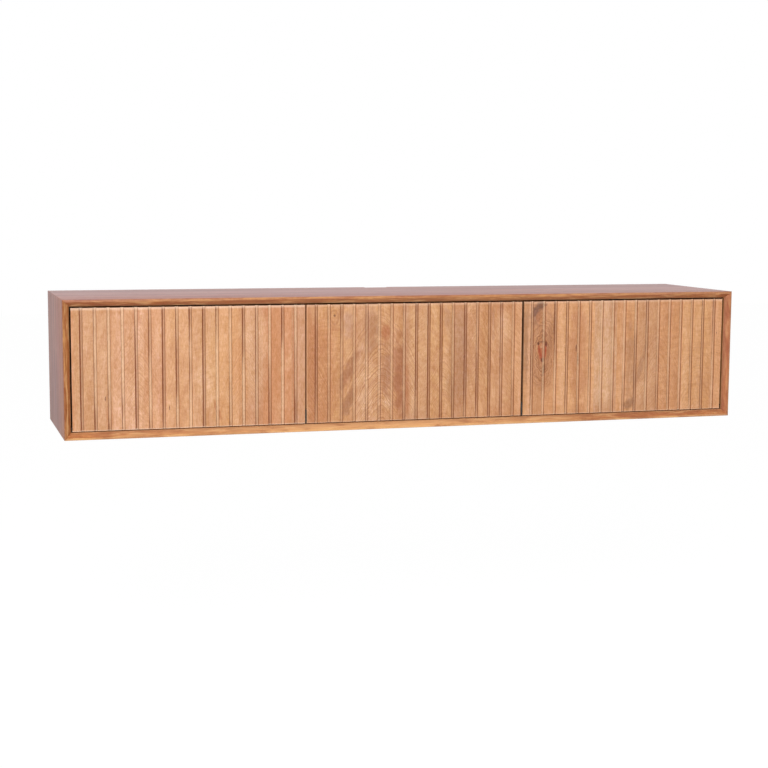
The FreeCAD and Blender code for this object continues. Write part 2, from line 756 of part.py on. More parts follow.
def build_flap(side_name, slot, wall, inward):
    """One flap with all that rides on it, and the fixed hardware that holds it. Returns the fixed cutters."""
    middle = f"{slot} * flap_step"
    bracket_screws = flap_bracket_screws(f"{side_name}_stay_screws", wall, inward)
    plate_screws = strike_screws(f"{side_name}_strike_screws", middle)
    fixed_screws = swivel_screws(f"{side_name}_swivel_screws", wall, inward)
    housing_screws = latch_screws(f"{side_name}_latch_screws", middle)
    seats = [bush_seat(f"{side_name}_seat_{end}", middle, end) for end in (-1, 1)]
    board = flap_body(f"{side_name}_flap", middle)
    cutters = seats + [bracket_screws, plate_screws]
    piece(cut(f"{side_name}_flap_panel", board, cutters), f"{side_name}_flap")
    bushes = [bush(f"{side_name}_bush_{end}", middle, end) for end in (-1, 1)]
    piece(grouped(f"{side_name}_bush_pair", bushes), f"{side_name}_flap_bushes")
    bracket = flap_bracket(f"{side_name}_stay_bracket", wall, inward, bracket_screws)
    piece(bracket, f"{side_name}_flap_stay_bracket")
    piece(bracket_screws, f"{side_name}_flap_bracket_screws")
    plate = strike_plate(f"{side_name}_strike", middle, plate_screws)
    piece(plate, f"{side_name}_strike_plate")
    piece(plate_screws, f"{side_name}_strike_plate_screws")
    piece(stay_rod(f"{side_name}_stay", wall, inward), f"{side_name}_stay_rod")
    piece(swivel_housing(f"{side_name}_stay_slide", wall, inward), f"{side_name}_stay_housing")
    swivel = swivel_bracket(f"{side_name}_swivel", wall, inward, fixed_screws)
    piece(swivel, f"{side_name}_stay_wall_bracket")
    piece(latch_housing(f"{side_name}_latch", middle, housing_screws), f"{side_name}_latch_housing")
    tip = (middle, "plunger_tip", "latch_axis")
    plunger = cylinder(f"{side_name}_plunger", tip, "+Y", "plunger_radius", "plunger_length")
    piece(plunger, f"{side_name}_latch_plunger")
    return fixed_screws, housing_screws


def build_console():
    """All pieces, each cut by the hardware that sits in it."""
    divider_face_left = "-divider_face"
    stays = {
        "left": (-1, "-inner_half", "+X"),
        "middle": (0, divider_face_left, "+X"),
        "right": (1, "inner_half", "-X"),
    }
    swivel_sets = {}
    latch_sets = []
    for side_name, (slot, wall, inward) in stays.items():
        swivel_sets[side_name], latch_set = build_flap(side_name, slot, wall, inward)
        latch_sets.append(latch_set)
    piece(grouped("swivel_screw_set", list(swivel_sets.values())), "stay_wall_bracket_screws")
    piece(grouped("latch_screw_set", latch_sets), "latch_screws")

    splines = {
        (side, level): mitre_spline(f"spline_{side}_{level}", side, level)
        for side in (-1, 1)
        for level in (-1, 1)
    }
    piece(grouped("spline_set", list(splines.values())), "mitre_splines")
    upright_dowels = piece(divider_dowels(), "divider_dowels")
    cross_dowels = piece(rail_dowels(), "rail_dowels")

    top_cutters = [splines[-1, 1], splines[1, 1], upright_dowels, cable_notch()] + latch_sets
    piece(cut("top", level_board("top", 1), top_cutters), "top_board")
    bottom_cutters = [splines[-1, -1], splines[1, -1], upright_dowels]
    piece(cut("bottom", level_board("bottom", -1), bottom_cutters), "bottom_board")
    for side_name, side, inward in (("left", -1, "+X"), ("right", 1, "-X")):
        pin = piece(side_pivot_pin(f"{side_name}_side_pivot", side, inward), f"{side_name}_side_pivot_pin")
        cutters = [splines[side, -1], splines[side, 1], cross_dowels, pin, swivel_sets[side_name]]
        piece(cut(f"{side_name}_side", side_board(f"{side_name}_side", side), cutters), f"{side_name}_side_board")

    bracket_screw_sets = []
    for side_name, side in (("left", -1), ("right", 1)):
        screws = centre_bracket_screws(side)
        bracket_screw_sets.append(screws)
        cutters = [upright_dowels, screws]
        if side < 0:
            cutters.append(swivel_sets["middle"])
        piece(cut(f"{side_name}_upright", divider(f"{side_name}_divider", side), cutters), f"{side_name}_divider")
        bracket = centre_pivot_bracket(f"{side_name}_centre", side, screws)
        piece(bracket, f"{side_name}_centre_pivot_bracket")
    piece(grouped("centre_bracket_screw_set", bracket_screw_sets), "centre_pivot_bracket_screws")

    back_screws = piece(panel_screws(), "back_panel_screws")
    for side_name, slot in (("left", -1), ("middle", 0), ("right", 1)):
        back_panel(f"{side_name}_back_panel", slot, back_screws)
    low_holes = [wall_hole(f"low_wall_hole_{side}", side, "low_rail_middle") for side in (-1, 1)]
    piece(cut("low_rail", lower_rail_blank(), [cross_dowels, back_screws] + low_holes), "lower_hanging_rail")
    for side_name, side in (("left", -1), ("right", 1)):
        blank = upper_rail_blank(f"{side_name}_high_rail_blank", side)
        hole = wall_hole(f"{side_name}_high_wall_hole", side, "high_rail_middle")
        rail = cut(f"{side_name}_high_rail", blank, [cross_dowels, back_screws, hole])
        piece(rail, f"{side_name}_upper_hanging_rail")


def check_and_export():
    """Stop if anything failed to build, then write one STEP file for each piece."""
    doc.recompute()
    failed = [item.Name for item in doc.Objects if "Invalid" in item.State or "Error" in item.State]
    if failed:
        raise RuntimeError("failed: " + ", ".join(failed))
    for item in pieces:
        if item.Shape.isNull() or not item.Shape.isValid() or not item.Shape.Solids:
            raise RuntimeError("no good shape: " + item.Label)
    os.makedirs("parts", exist_ok=True)
    for item in pieces:
        item.Shape.exportStep(f"parts/{item.Label}.step")
        print(f"{item.Label}: {len(item.Shape.Solids)} solids, {item.Shape.Volume / 1000:.1f} cm3")


fill_sheet()
build_console()
check_and_export()
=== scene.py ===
import bpy
import bmesh
import json
import math
import random
from functools import partialmethod, reduce
from mathutils import Matrix, Vector, noise


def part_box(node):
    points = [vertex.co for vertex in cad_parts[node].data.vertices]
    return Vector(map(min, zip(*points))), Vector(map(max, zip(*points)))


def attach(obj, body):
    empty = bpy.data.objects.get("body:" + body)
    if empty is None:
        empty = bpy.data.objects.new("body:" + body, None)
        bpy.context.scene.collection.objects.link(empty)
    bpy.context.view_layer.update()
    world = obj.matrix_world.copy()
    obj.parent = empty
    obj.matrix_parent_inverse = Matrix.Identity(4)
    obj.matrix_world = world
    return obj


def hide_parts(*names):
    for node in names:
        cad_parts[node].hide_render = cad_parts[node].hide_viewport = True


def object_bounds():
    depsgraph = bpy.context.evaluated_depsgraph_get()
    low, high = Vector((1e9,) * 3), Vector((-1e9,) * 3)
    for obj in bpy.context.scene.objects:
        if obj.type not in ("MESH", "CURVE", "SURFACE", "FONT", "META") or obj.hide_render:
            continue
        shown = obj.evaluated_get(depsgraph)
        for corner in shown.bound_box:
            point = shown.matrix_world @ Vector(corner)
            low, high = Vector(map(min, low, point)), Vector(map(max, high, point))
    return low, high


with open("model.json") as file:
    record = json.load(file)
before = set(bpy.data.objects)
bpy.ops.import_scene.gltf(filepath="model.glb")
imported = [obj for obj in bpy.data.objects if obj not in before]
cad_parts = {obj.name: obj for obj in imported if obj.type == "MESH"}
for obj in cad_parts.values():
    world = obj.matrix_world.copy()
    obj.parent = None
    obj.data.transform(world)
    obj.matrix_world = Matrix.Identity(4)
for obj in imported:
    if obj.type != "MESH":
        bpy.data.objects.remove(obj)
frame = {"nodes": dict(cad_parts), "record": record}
cad_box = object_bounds()

# The console: a mitred timber box with three grooved drop-down flaps. Metres, in the frame's own axes:
# +X to the right seen from the front, -Y is the front, +Z is up.

MM = 0.001

# ---- sizes of the visible pieces

BOARD = 15 * MM
FRONT_STRIP = 4.5 * MM
TOP_FRONT_STRIP = 5.8 * MM
BEVEL_DEPTH = 10 * MM
OUTER_ARRIS = 0.9 * MM
INNER_ARRIS = 0.7 * MM
NOTCH_WIDTH = 60 * MM
NOTCH_DEPTH = 18 * MM

GROOVES = 17
GROOVE_WIDTH = 7.4 * MM
GROOVE_DEPTH = 3.5 * MM
GROOVE_WALL_LEAN = 0.2 * MM
END_SLAT = 18 * MM
SLAT_ARRIS = 2.6 * MM
LOWER_ARRIS = 1 * MM
SLAT_EDGE = 0.5 * MM
SLAT_EDGE_BEND = SLAT_EDGE * 0.3
FLAP_ARRIS = 0.8 * MM
BUSH_STAND = 0.08 * MM
GROOVE_WANDER = 0.3 * MM
WANDER_CELLS = (260, 16)
CUTTER_CHATTER = 0.22 * MM
CHATTER_CELLS = (900, 420)
FLAP_ROWS = 60

LOW, HIGH = cad_box
BEVEL_BACK = LOW[1] + BEVEL_DEPTH
DOOR_FRONT = -0.163
SIDES = ("left", "middle", "right")


def bevel_place(share):
    """How far back a share of the bevel's depth lies."""
    return LOW[1] + share * BEVEL_DEPTH


# ---- node helpers

def colour(tint):
    """Linear light from a tint of three screen values, 0 to 255. All else stays as it is."""
    if not isinstance(tint, tuple) or len(tint) != 3:
        return tint
    shares = [part / 255 for part in tint]
    linear = [share / 12.92 if share <= 0.04045 else ((share + 0.055) / 1.055) ** 2.4 for share in shares]
    return (*linear, 1)


class Net:
    """Adds shader nodes to one tree. surface is the colour built up so far."""

    def __init__(self, tree):
        self.tree = tree
        self.surface = None

    def put(self, node, key, value):
        """Set an input of a node, or join it to a socket."""
        socket = node.inputs[key]
        if isinstance(value, bpy.types.NodeSocket):
            self.tree.links.new(value, socket)
        else:
            socket.default_value = value

    def add(self, kind, settings=None, inputs=None):
        """A node of one kind with its settings and inputs."""
        node = self.tree.nodes.new("ShaderNode" + kind)
        for name, value in (settings or {}).items():
            setattr(node, name, value)
        for key, value in (inputs or {}).items():
            self.put(node, key, value)
        return node

    def group(self, tree, **inputs):
        """The outputs of a group. Underscores in input names stand for blanks."""
        names = {name.replace("_", " "): value for name, value in inputs.items()}
        node = self.add("Group", {"node_tree": tree}, names)
        return node.outputs

    def math(self, operation, *numbers):
        """One sum, product or comparison of numbers."""
        return self.add("Math", {"operation": operation}, dict(enumerate(numbers))).outputs[0]

    plus = partialmethod(math, "ADD")
    minus = partialmethod(math, "SUBTRACT")
    times = partialmethod(math, "MULTIPLY")
    over = partialmethod(math, "DIVIDE")
    power = partialmethod(math, "POWER")
    times_plus = partialmethod(math, "MULTIPLY_ADD")

    def centred(self, value, width):
        """A number from 0 to 1 carried to a range this wide about 0."""
        return self.times_plus(value, width, -width / 2)

    def split(self, vector):
        """The three parts of a vector."""
        return tuple(self.add("SeparateXYZ", inputs={0: vector}).outputs)

    def vector(self, *parts):
        """A vector from three parts."""
        return self.add("CombineXYZ", inputs=dict(enumerate(parts))).outputs[0]

    def scaled(self, vector, *scale):
        """A vector stretched along its three axes."""
        return self.add("Mapping", {"vector_type": "POINT"}, {0: vector, 3: scale}).outputs[0]

    def noise(self, vector, **choices):
        """Smooth noise between 0 and 1."""
        inputs = {name.title(): value for name, value in choices.items()}
        return self.add("TexNoise", inputs={"Vector": vector, "Scale": 1} | inputs).outputs[0]

    def grained(self, vector, across, along, **choices):
        """Noise with so many cells in a metre across and along the grain."""
        return self.noise(self.scaled(vector, across, across, along), **choices)

    def bands(self, value, detail):
        """Smooth noise along a single number."""
        inputs = {"W": value, "Scale": 1, "Detail": detail}
        return self.add("TexNoise", {"noise_dimensions": "1D"}, inputs).outputs[0]

    def fit(self, value, low, high, to_low=0, to_high=1, smooth=False):
        """A number carried from one range to another and kept inside it."""
        settings = {"interpolation_type": "SMOOTHSTEP" if smooth else "LINEAR"}
        return self.add("MapRange", settings, dict(enumerate((value, low, high, to_low, to_high)))).outputs[0]

    def mix(self, share, first, second, blend="MIX"):
        """Two colours blended."""
        inputs = {0: share, 6: colour(first), 7: colour(second)}
        return self.add("Mix", {"data_type": "RGBA", "blend_type": blend}, inputs).outputs[2]

    def lay(self, tint, *shares, blend="MIX"):
        """Lay a tint over the surface, by the product of its shares."""
        self.surface = self.mix(reduce(self.times, shares), self.surface, tint, blend)

    def tone(self, value, low, high, spread):
        """Turn the surface darker and browner, or lighter, as a number runs from low to high."""
        tint = self.group(TONE, Value=value, Low=low, High=high, Spread=spread)["Tint"]
        self.lay(tint, 1, blend="MULTIPLY")

    def ramp(self, value, places, tints):
        """A colour read from a row of tints at their places."""
        node = self.add("ValToRGB", inputs={0: value})
        bar = node.color_ramp
        for end in (0, -1):
            bar.elements[end].position, bar.elements[end].color = places[end], colour(tints[end])
        for place, tint in zip(places[1:-1], tints[1:-1]):
            bar.elements.new(place).color = colour(tint)
        return node.outputs[0]


OUTPUT_KINDS = {"Vector": "Vector", "Tint": "Color"}


def node_group(name, build, **inputs):
    """A shader group. inputs gives each one's usual value, None for a vector."""
    tree = bpy.data.node_groups.new(name, "ShaderNodeTree")
    for label, value in inputs.items():
        kind = "NodeSocketVector" if value is None else "NodeSocketFloat"
        socket = tree.interface.new_socket(label.replace("_", " "), in_out="INPUT", socket_type=kind)
        if value is not None:
            socket.default_value = value
    results = build(Net(tree), tree.nodes.new("NodeGroupInput").outputs)
    for label in results:
        kind = "NodeSocket" + OUTPUT_KINDS.get(label, "Float")
        tree.interface.new_socket(label, in_out="OUTPUT", socket_type=kind)
    target = tree.nodes.new("NodeGroupOutput")
    for label, result in results.items():
        tree.links.new(result, target.inputs[label])
    return tree


# ---- wood effects as groups
# All of them take a vector in metres with the grain along Z and the face looking along Y.

STAVE_SHIFT = (0.12, 0.04, 3)


def build_staves(net, given):
    """Glued staves of uneven width: two random numbers each, and a vector that jumps at the joints."""
    across, depth, along = net.split(given["Vector"])
    place = net.plus(net.over(across, given["Width"]), given["Seed"])
    cells = net.add("TexVoronoi", {"voronoi_dimensions": "1D"}, {"W": place, "Scale": 1})
    red, green, blue = net.split(cells.outputs["Color"])
    jump = net.vector(*map(net.times, (green, blue, green), STAVE_SHIFT))
    moved = net.add("VectorMath", {"operation": "ADD"}, {0: given["Vector"], 1: jump}).outputs[0]
    return {"Tone": red, "Warmth": blue, "Vector": moved}


def build_growth(net, given):
    """Growth rings about a leaning pith, as a board's face shows them."""
    across, depth, along = net.split(given["Vector"])
    warp = net.grained(given["Vector"], 8, 5, detail=3)
    sideways = net.plus(across, net.centred(warp, 0.05))
    inwards = net.plus(depth, net.times_plus(along, given["Lean"], given["Pith Depth"]))
    radius = net.add("VectorMath", {"operation": "LENGTH"}, {0: net.vector(sideways, inwards)}).outputs[1]
    return {"Rings": net.fit(net.bands(net.over(radius, given["Ring Width"]), 3), 0.32, 0.68)}


def build_fibre(net, given):
    """Fibre, long soft streaks, clouds of tone, a cross curl, slanting ripple and fine open pores."""
    vector = given["Vector"]
    streak = net.grained(vector, 48, 3.2, detail=3, roughness=0.55, distortion=0.4)
    turn = {"Vector": vector, "Angle": given["Ripple Angle"]}
    slanted = net.add("VectorRotate", {"rotation_type": "Y_AXIS"}, turn).outputs[0]
    ripple = net.fit(net.grained(slanted, 26, 330, distortion=0.8), 0.46, 0.6)
    pores = net.grained(vector, 1700, 210, detail=1)
    return {
        "Fibre": net.grained(vector, 360, 90, detail=4, roughness=0.7),
        "Streak": streak,
        "Cloud": net.grained(vector, 24, 11, detail=3, roughness=0.6, distortion=0.6),
        "Curl": net.grained(vector, 30, 130, distortion=1.5),
        "Ripple": net.times(ripple, net.fit(streak, 0.38, 0.56)),
        "Pores": net.fit(pores, given["Pore Limit"], 0.8, smooth=True),
    }


def oval_reach(net, given):
    """How far aside (1 at the rim) and how far out (squared) a point lies in an oval, and its parts."""
    across, depth, along = net.split(given["Vector"])
    rise = net.minus(along, given["Along"])
    aside = net.minus(net.minus(across, given["Across"]), net.times(rise, given["Slant"]))
    x = net.over(aside, given["Half Width"])
    z = net.over(rise, given["Half Length"])
    return x, net.plus(net.power(x, 2), net.power(z, 2)), (across, depth, along)


def build_spot(net, given):
    """A soft, ragged oval mark."""
    x, square, parts = oval_reach(net, given)
    wobble = net.noise(given["Vector"], scale=given["Raggedness"], detail=3)
    ragged = net.plus(square, net.centred(wobble, 2.4))
    return {"Mask": net.fit(ragged, 0.1, 1.3, 1, 0, smooth=True)}


def build_bend(net, given):
    """Grain that flows round a point, as it does round a knot."""
    x, square, (across, depth, along) = oval_reach(net, given)
    fade = net.power(math.e, net.times(square, -1))
    push = net.times(net.times(x, fade), given["Push"])
    return {"Vector": net.vector(net.minus(across, push), depth, along)}


def build_arches(net, given):
    """Arched grain lines of a flat-sawn board, that fade out towards the rim of an oval."""
    x, square, (across, depth, along) = oval_reach(net, given)
    warp = net.grained(given["Vector"], 34, 18, detail=3)
    shoulder = net.math("SQRT", net.plus(net.power(x, 2), 0.02))
    level = net.times_plus(warp, 0.03, net.plus(along, net.times(shoulder, given["Drop"])))
    lines = net.fit(net.bands(net.over(level, given["Spacing"]), 2), 0.44, 0.64)
    return {"Lines": net.times(lines, net.fit(square, 1, 0.35, smooth=True))}


def build_knot_rings(net, given):
    """Ragged rings that run round a knot and fade out with distance."""
    x, square, parts = oval_reach(net, given)
    wobble = net.noise(given["Vector"], scale=42, detail=3)
    reach = net.times_plus(wobble, 0.5, net.math("SQRT", square))
    lines = net.fit(net.bands(net.times(reach, given["Count"]), 2), 0.44, 0.6)
    return {"Lines": net.times(lines, net.fit(square, 1, 0.2, smooth=True))}


TINT_FALL = (0.72, 1.15, 2.3)


def build_tone(net, given):
    """A tint that darkens or lightens with a number. Blue falls away fastest, as in wood."""
    lightest = net.plus(1, given["Spread"])
    darkest = net.minus(1, given["Spread"])
    level = net.fit(given["Value"], given["Low"], given["High"], darkest, lightest)
    return {"Tint": net.vector(*[net.power(level, fall) for fall in TINT_FALL])}


def build_torn_groove(net, given):
    """A routed groove: its rough fibre, how dark it is along its length, and a painted shadow line along one
    side.
    """
    across, depth, along = net.split(given["Vector"])
    torn = net.grained(given["Vector"], 800, 190, detail=3, roughness=0.7)
    along_groove = net.vector(net.times(given["Number"], 37), 0, net.times(along, 3))
    dark = net.fit(net.noise(along_groove, detail=3), 0.4, 0.6, smooth=True)
    ragged = net.plus(given["Share"], net.centred(torn, 0.24))
    line = net.minus(ragged, net.times_plus(dark, 0.16, 0.2))
    return {"Torn": torn, "Dark": dark, "Line": net.fit(line, -0.03, 0.16, 1, 0, smooth=True)}


OVAL = {"Vector": None, "Across": 0, "Along": 0, "Half_Width": 0.01, "Half_Length": 0.02, "Slant": 0}
STAVES = node_group("staves", build_staves, Vector=None, Width=0.06, Seed=0)
GROWTH = node_group("growth rings", build_growth, Vector=None, Ring_Width=0.006, Pith_Depth=0.06, Lean=0.3)
FIBRE = node_group("fibre and pores", build_fibre, Vector=None, Pore_Limit=0.62, Ripple_Angle=0.9)
SPOT = node_group("oval mark", build_spot, **OVAL, Raggedness=90)
BEND = node_group("grain round a knot", build_bend, **OVAL, Push=0.01)
ARCHES = node_group("arched figure", build_arches, **OVAL, Drop=0.2, Spacing=0.004)
KNOT_RINGS = node_group("rings round a knot", build_knot_rings, **OVAL, Count=14)
TONE = node_group("warm tone", build_tone, Value=0.5, Low=0, High=1, Spread=0.1)
TORN_GROOVE = node_group("torn groove", build_torn_groove, Vector=None, Share=0.5, Number=0)


# ---- wood materials

def wood_axes(net, grain):
    """The piece's own coordinates, turned for the grain to run along Z, and unturned."""
    x, y, z = net.split(net.add("TexCoord").outputs["Object"])
    turned = {"flap": (x, y, z), "side": (y, x, z), "level": (y, z, x), "rail": (z, y, x)}
    return net.vector(*turned[grain]), (x, y, z)


def oval(across, along, half_width, half_length, slant=0):
    """The inputs that place a leaning oval, from millimetres."""
    sizes = {"Across": across, "Along": along, "Half_Width": half_width, "Half_Length": half_length}
    return {name: size * MM for name, size in sizes.items()} | {"Slant": slant}


def lay_marks(net, vector, marks):
    """Lay oval marks over the surface, in their order."""
    for *place, raggedness, strength, tint in marks:
        mask = net.group(SPOT, Vector=vector, Raggedness=raggedness, **oval(*place))["Mask"]
        net.lay(tint, mask, strength)


def timber(net, axes, look):
    """Start the surface with a timber's colour, and give its height."""
    bent = axes
    for *place, push in look["bends"]:
        bent = net.group(BEND, Vector=bent, Push=push * MM, **oval(*place))["Vector"]
    staves = net.group(STAVES, Vector=bent, Width=look["stave"], Seed=look["seed"])
    place, warmth = staves["Vector"], staves["Warmth"]
    rings = {"Ring_Width": look["ring"], "Pith_Depth": look["pith"], "Lean": look["lean"]}
    growth = net.group(GROWTH, Vector=place, **rings)
    angle = net.times_plus(warmth, 1.8, -1)
    fibre = net.group(FIBRE, Vector=place, Pore_Limit=look["pore_limit"], Ripple_Angle=angle)
    net.surface = net.ramp(staves["Tone"], TONE_PLACES, look["tones"])
    net.lay(look["grey"], net.fit(warmth, 0.62, 0.95, 0, look["greying"]))
    net.lay(look["dark"], growth["Rings"], look["rings"])
    net.lay(look["dark"], net.fit(fibre["Cloud"], 0.52, 0.7, 0, look["cloud"]))
    net.lay(look["tones"][-1], net.fit(fibre["Cloud"], 0.46, 0.3, 0, look["cloud"]))
    lay_marks(net, bent, look["stains"])
    for tree, *place, lines, strength, tint in look["figures"]:
        net.lay(tint, net.group(tree, Vector=axes, **oval(*place), **lines)["Lines"], strength)
    lay_marks(net, bent, look["knots"])
    net.tone(fibre["Streak"], 0.7, 0.3, look["streak"])
    net.tone(fibre["Curl"], 0.3, 0.7, look["curl"])
    net.lay(look["dark"], fibre["Ripple"], look["ripple"])
    net.tone(fibre["Fibre"], 0.25, 0.75, look["fibre"])
    net.lay(look["pore_colour"], fibre["Pores"], 0.45)
    return net.minus(net.times(fibre["Fibre"], 0.5), fibre["Pores"])


def shade(net, height, strength, distance, inputs):
    """The surface shader with fine bumps, joined to the material's output."""
    bump = net.add("Bump", inputs={"Strength": strength, "Distance": distance, "Height": height})
    shader = net.add("BsdfPrincipled", inputs=dict(inputs, Normal=bump.outputs[0]))
    net.add("OutputMaterial", inputs={"Surface": shader.outputs[0]})


def finish_wood(net, height, roughness, look):
    """Oiled wood: a soft gloss whose reflection is slightly cool."""
    shade(net, height, 0.35, look["relief"], {
        "Base Color": net.surface,
        "Roughness": roughness,
        "IOR": 1.48,
        "Specular IOR Level": look["gloss"],
        "Specular Tint": look["gloss_tint"],
        "Coat Weight": look["lacquer"],
        "Coat Roughness": 0.34,
        "Coat IOR": 1.5,
    })


def new_material(name):
    """An empty node material and its net."""
    material = bpy.data.materials.new(name)
    material.use_nodes = True
    material.node_tree.nodes.clear()
    return material, Net(material.node_tree)


# Tints, as a screen shows them.
# The two rebate tints are painted shade and painted light, for the gaps round the doors.
REBATE_SHADE = (52, 32, 22)
END_GRAIN_AND_SHADE = (132, 86, 54)
REBATE_LIGHT = (236, 190, 146)
KNOT = (84, 38, 26)
RED_KNOT = (166, 74, 44)
GREY = (156, 112, 84)
RED = (186, 118, 76)
PALE = (236, 192, 152)
GRAIN = (166, 108, 72)
# The mauve tints are partly the wood's own and partly a painted reflection on the outer faces.
MAUVE_SHADE = (150, 86, 94)
MAUVE_LIGHT = (194, 130, 130)
PALE_MAUVE = (222, 176, 168)
BROWN_STRIPE = (130, 74, 66)
HONEY = (244, 188, 130)
GOLDEN_BLOTCH = (242, 192, 134)
BROWN_BLOTCH = (154, 82, 44)
BEVEL_SHADE = (96, 56, 34)
TORN_FIBRE = (244, 212, 174)
DARK_FLOOR = (144, 102, 78)
SIDE_SHADOW = (134, 74, 42)
FAR_CORNER_SHADE = (150, 90, 54)
GROOVE_WALL_SHADE = (150, 88, 52)
RIM_HIGHLIGHT = (250, 222, 196)

# A look is what makes one timber: sizes in metres, amounts from 0 to 1 and tints. Its tones are red, main,
# yellow, rosy and pale. The rows of its lists are, with places and half sizes in millimetres:
# bends: across, along, half width, half length, push
# stains and knots: across, along, half width, half length, slant if any, raggedness, strength, tint
# figures: kind, across, along, half width, half length, lines, strength, tint
# edges: the strength and tint for a door's left and right end faces, painted shade or painted light for the
# gaps.
TONE_PLACES = (0, 0.3, 0.5, 0.75, 1)
BASE_LOOK = dict(
    stave=0.062, seed=3.37, ring=0.0075, pith=0.05, lean=0.3, pore_limit=0.62,
    tones=((204, 140, 98), (217, 161, 118), (220, 167, 121), (219, 162, 124), (232, 184, 145)),
    grey=(194, 150, 116), dark=(184, 124, 82), pore_colour=(138, 88, 56), greying=0.6, rings=0.32,
    cloud=0.42, streak=0.07, curl=0.05, ripple=0.22, fibre=0.22, groove_pale=0.8, groove_dark=0.75,
    rim_highlight=0.5, relief=0.0004, lacquer=0, gloss=0.34, gloss_tint=(0.84, 0.86, 1, 1), bends=(), figures=(),
    stains=(), knots=(),
)
LEFT_DOOR_LOOK = dict(
    BASE_LOOK, edges=((0.92, REBATE_SHADE), (0.6, REBATE_LIGHT)), groove_pale=0.75,
    figures=(
        (ARCHES, -640, 150, 60, 150, {"Drop": 0.1, "Spacing": 0.005}, 0.26, GRAIN),
        (ARCHES, -400, 120, 60, 130, {"Drop": 0.11, "Spacing": 0.005}, 0.3, GRAIN),
    ),
    stains=(
        (-430, 150, 60, 170, 12, 0.35, (225, 172, 115)),
        (-287, 150, 6, 160, 20, 0.6, (192, 124, 84)),
        (-418, 170, 12, 90, 20, 0.4, (208, 144, 94)),
        (-462, 50, 5, 30, -0.35, 60, 0.55, (176, 106, 66)),
        (-590, 100, 10, 90, 24, 0.45, (206, 148, 112)),
        (-672, 210, 42, 120, 30, 0.45, (206, 150, 110)),
        (-378, 190, 30, 130, 26, 0.35, PALE),
        (-702, 45, 10, 28, 60, 0.45, RED),
        (-640, 262, 11, 24, 60, 0.4, RED),
        (-485, 120, 30, 60, 30, 0.3, PALE),
        (-780, 284, 6, 4, 200, 0.5, GREY),
    ),
    knots=(
        (-710, 87, 1.2, 6, 300, 0.75, KNOT),
        (-570, 63, 1.1, 5.5, 300, 0.75, KNOT),
    ),
)
MIDDLE_DOOR_LOOK = dict(
    BASE_LOOK, edges=((0.8, REBATE_LIGHT), (0.8, REBATE_SHADE)), seed=8.61,
    tones=((195, 136, 93), (209, 154, 110), (215, 163, 114), (209, 155, 114), (227, 180, 134)),
    rings=0.42, ripple=0.42, groove_pale=0.42, groove_dark=0.85, rim_highlight=0.25, greying=0.75,
    bends=(
        (-195, 258, 13, 26, 7),
        (117, 159, 6, 14, 3),
    ),
    figures=(
        (ARCHES, -85, 120, 115, 170, {"Drop": 0.2, "Spacing": 0.0044}, 0.66, GRAIN),
        (ARCHES, -290, 100, 120, 170, {"Drop": 0.2, "Spacing": 0.0048}, 0.5, GRAIN),
        (ARCHES, 65, 80, 60, 120, {"Drop": 0.1, "Spacing": 0.0042}, 0.34, GRAIN),
        (ARCHES, 150, 200, 60, 120, {"Drop": 0.1, "Spacing": 0.0046}, 0.34, GRAIN),
        (KNOT_RINGS, -195, 256, 22, 36, {"Count": 7}, 0.55, GRAIN),
    ),
    stains=(
        (-225, 130, 40, 150, 12, 0.35, (200, 132, 92)),
        (-207, 252, 1.6, 22, 200, 0.7, GREY),
        (-190, 228, 14, 4.5, 160, 0.5, RED),
        (-163, 245, 13, 40, 70, 0.6, (186, 140, 117)),
        (-160, 135, 15, 50, 0.45, 90, 0.75, (160, 106, 72)),
        (-163, 60, 13, 38, 0.3, 90, 0.75, (158, 110, 78)),
        (-108, 225, 17, 60, 60, 0.55, GREY),
        (-74, 220, 13, 19, 110, 0.8, (176, 104, 64)),
        (-73, 130, 14, 70, 60, 0.65, (168, 118, 90)),
        (-42, 120, 14.5, 105, 60, 0.85, (160, 100, 70)),
        (-19, 90, 7, 80, 60, 0.7, (180, 114, 75)),
        (14, 140, 20, 170, 20, 0.45, (226, 174, 126)),
        (-72, 56, 11, 18, 60, 0.55, PALE),
        (-120, 60, 16, 40, 40, 0.35, PALE),
        (72, 258, 9, 30, 60, 0.45, (172, 124, 96)),
        (100, 150, 30, 150, 14, 0.45, GREY),
        (188, 240, 5, 50, 60, 0.5, (172, 124, 96)),
        (215, 140, 30, 150, 16, 0.4, (222, 172, 130)),
        (213, 215, 20, 60, 30, 0.35, PALE),
        (250, 150, 11, 170, 20, 0.5, (232, 178, 134)),
        (-8, 150, 14, 180, 20, 0.6, (234, 184, 136)),
        (-130, 220, 32, 75, 30, 0.4, (190, 134, 96)),
    ),
    knots=(
        (-195, 260, 1.4, 3.4, 300, 0.8, KNOT),
        (117, 159, 1.8, 4.5, 300, 0.85, KNOT),
    ),
)
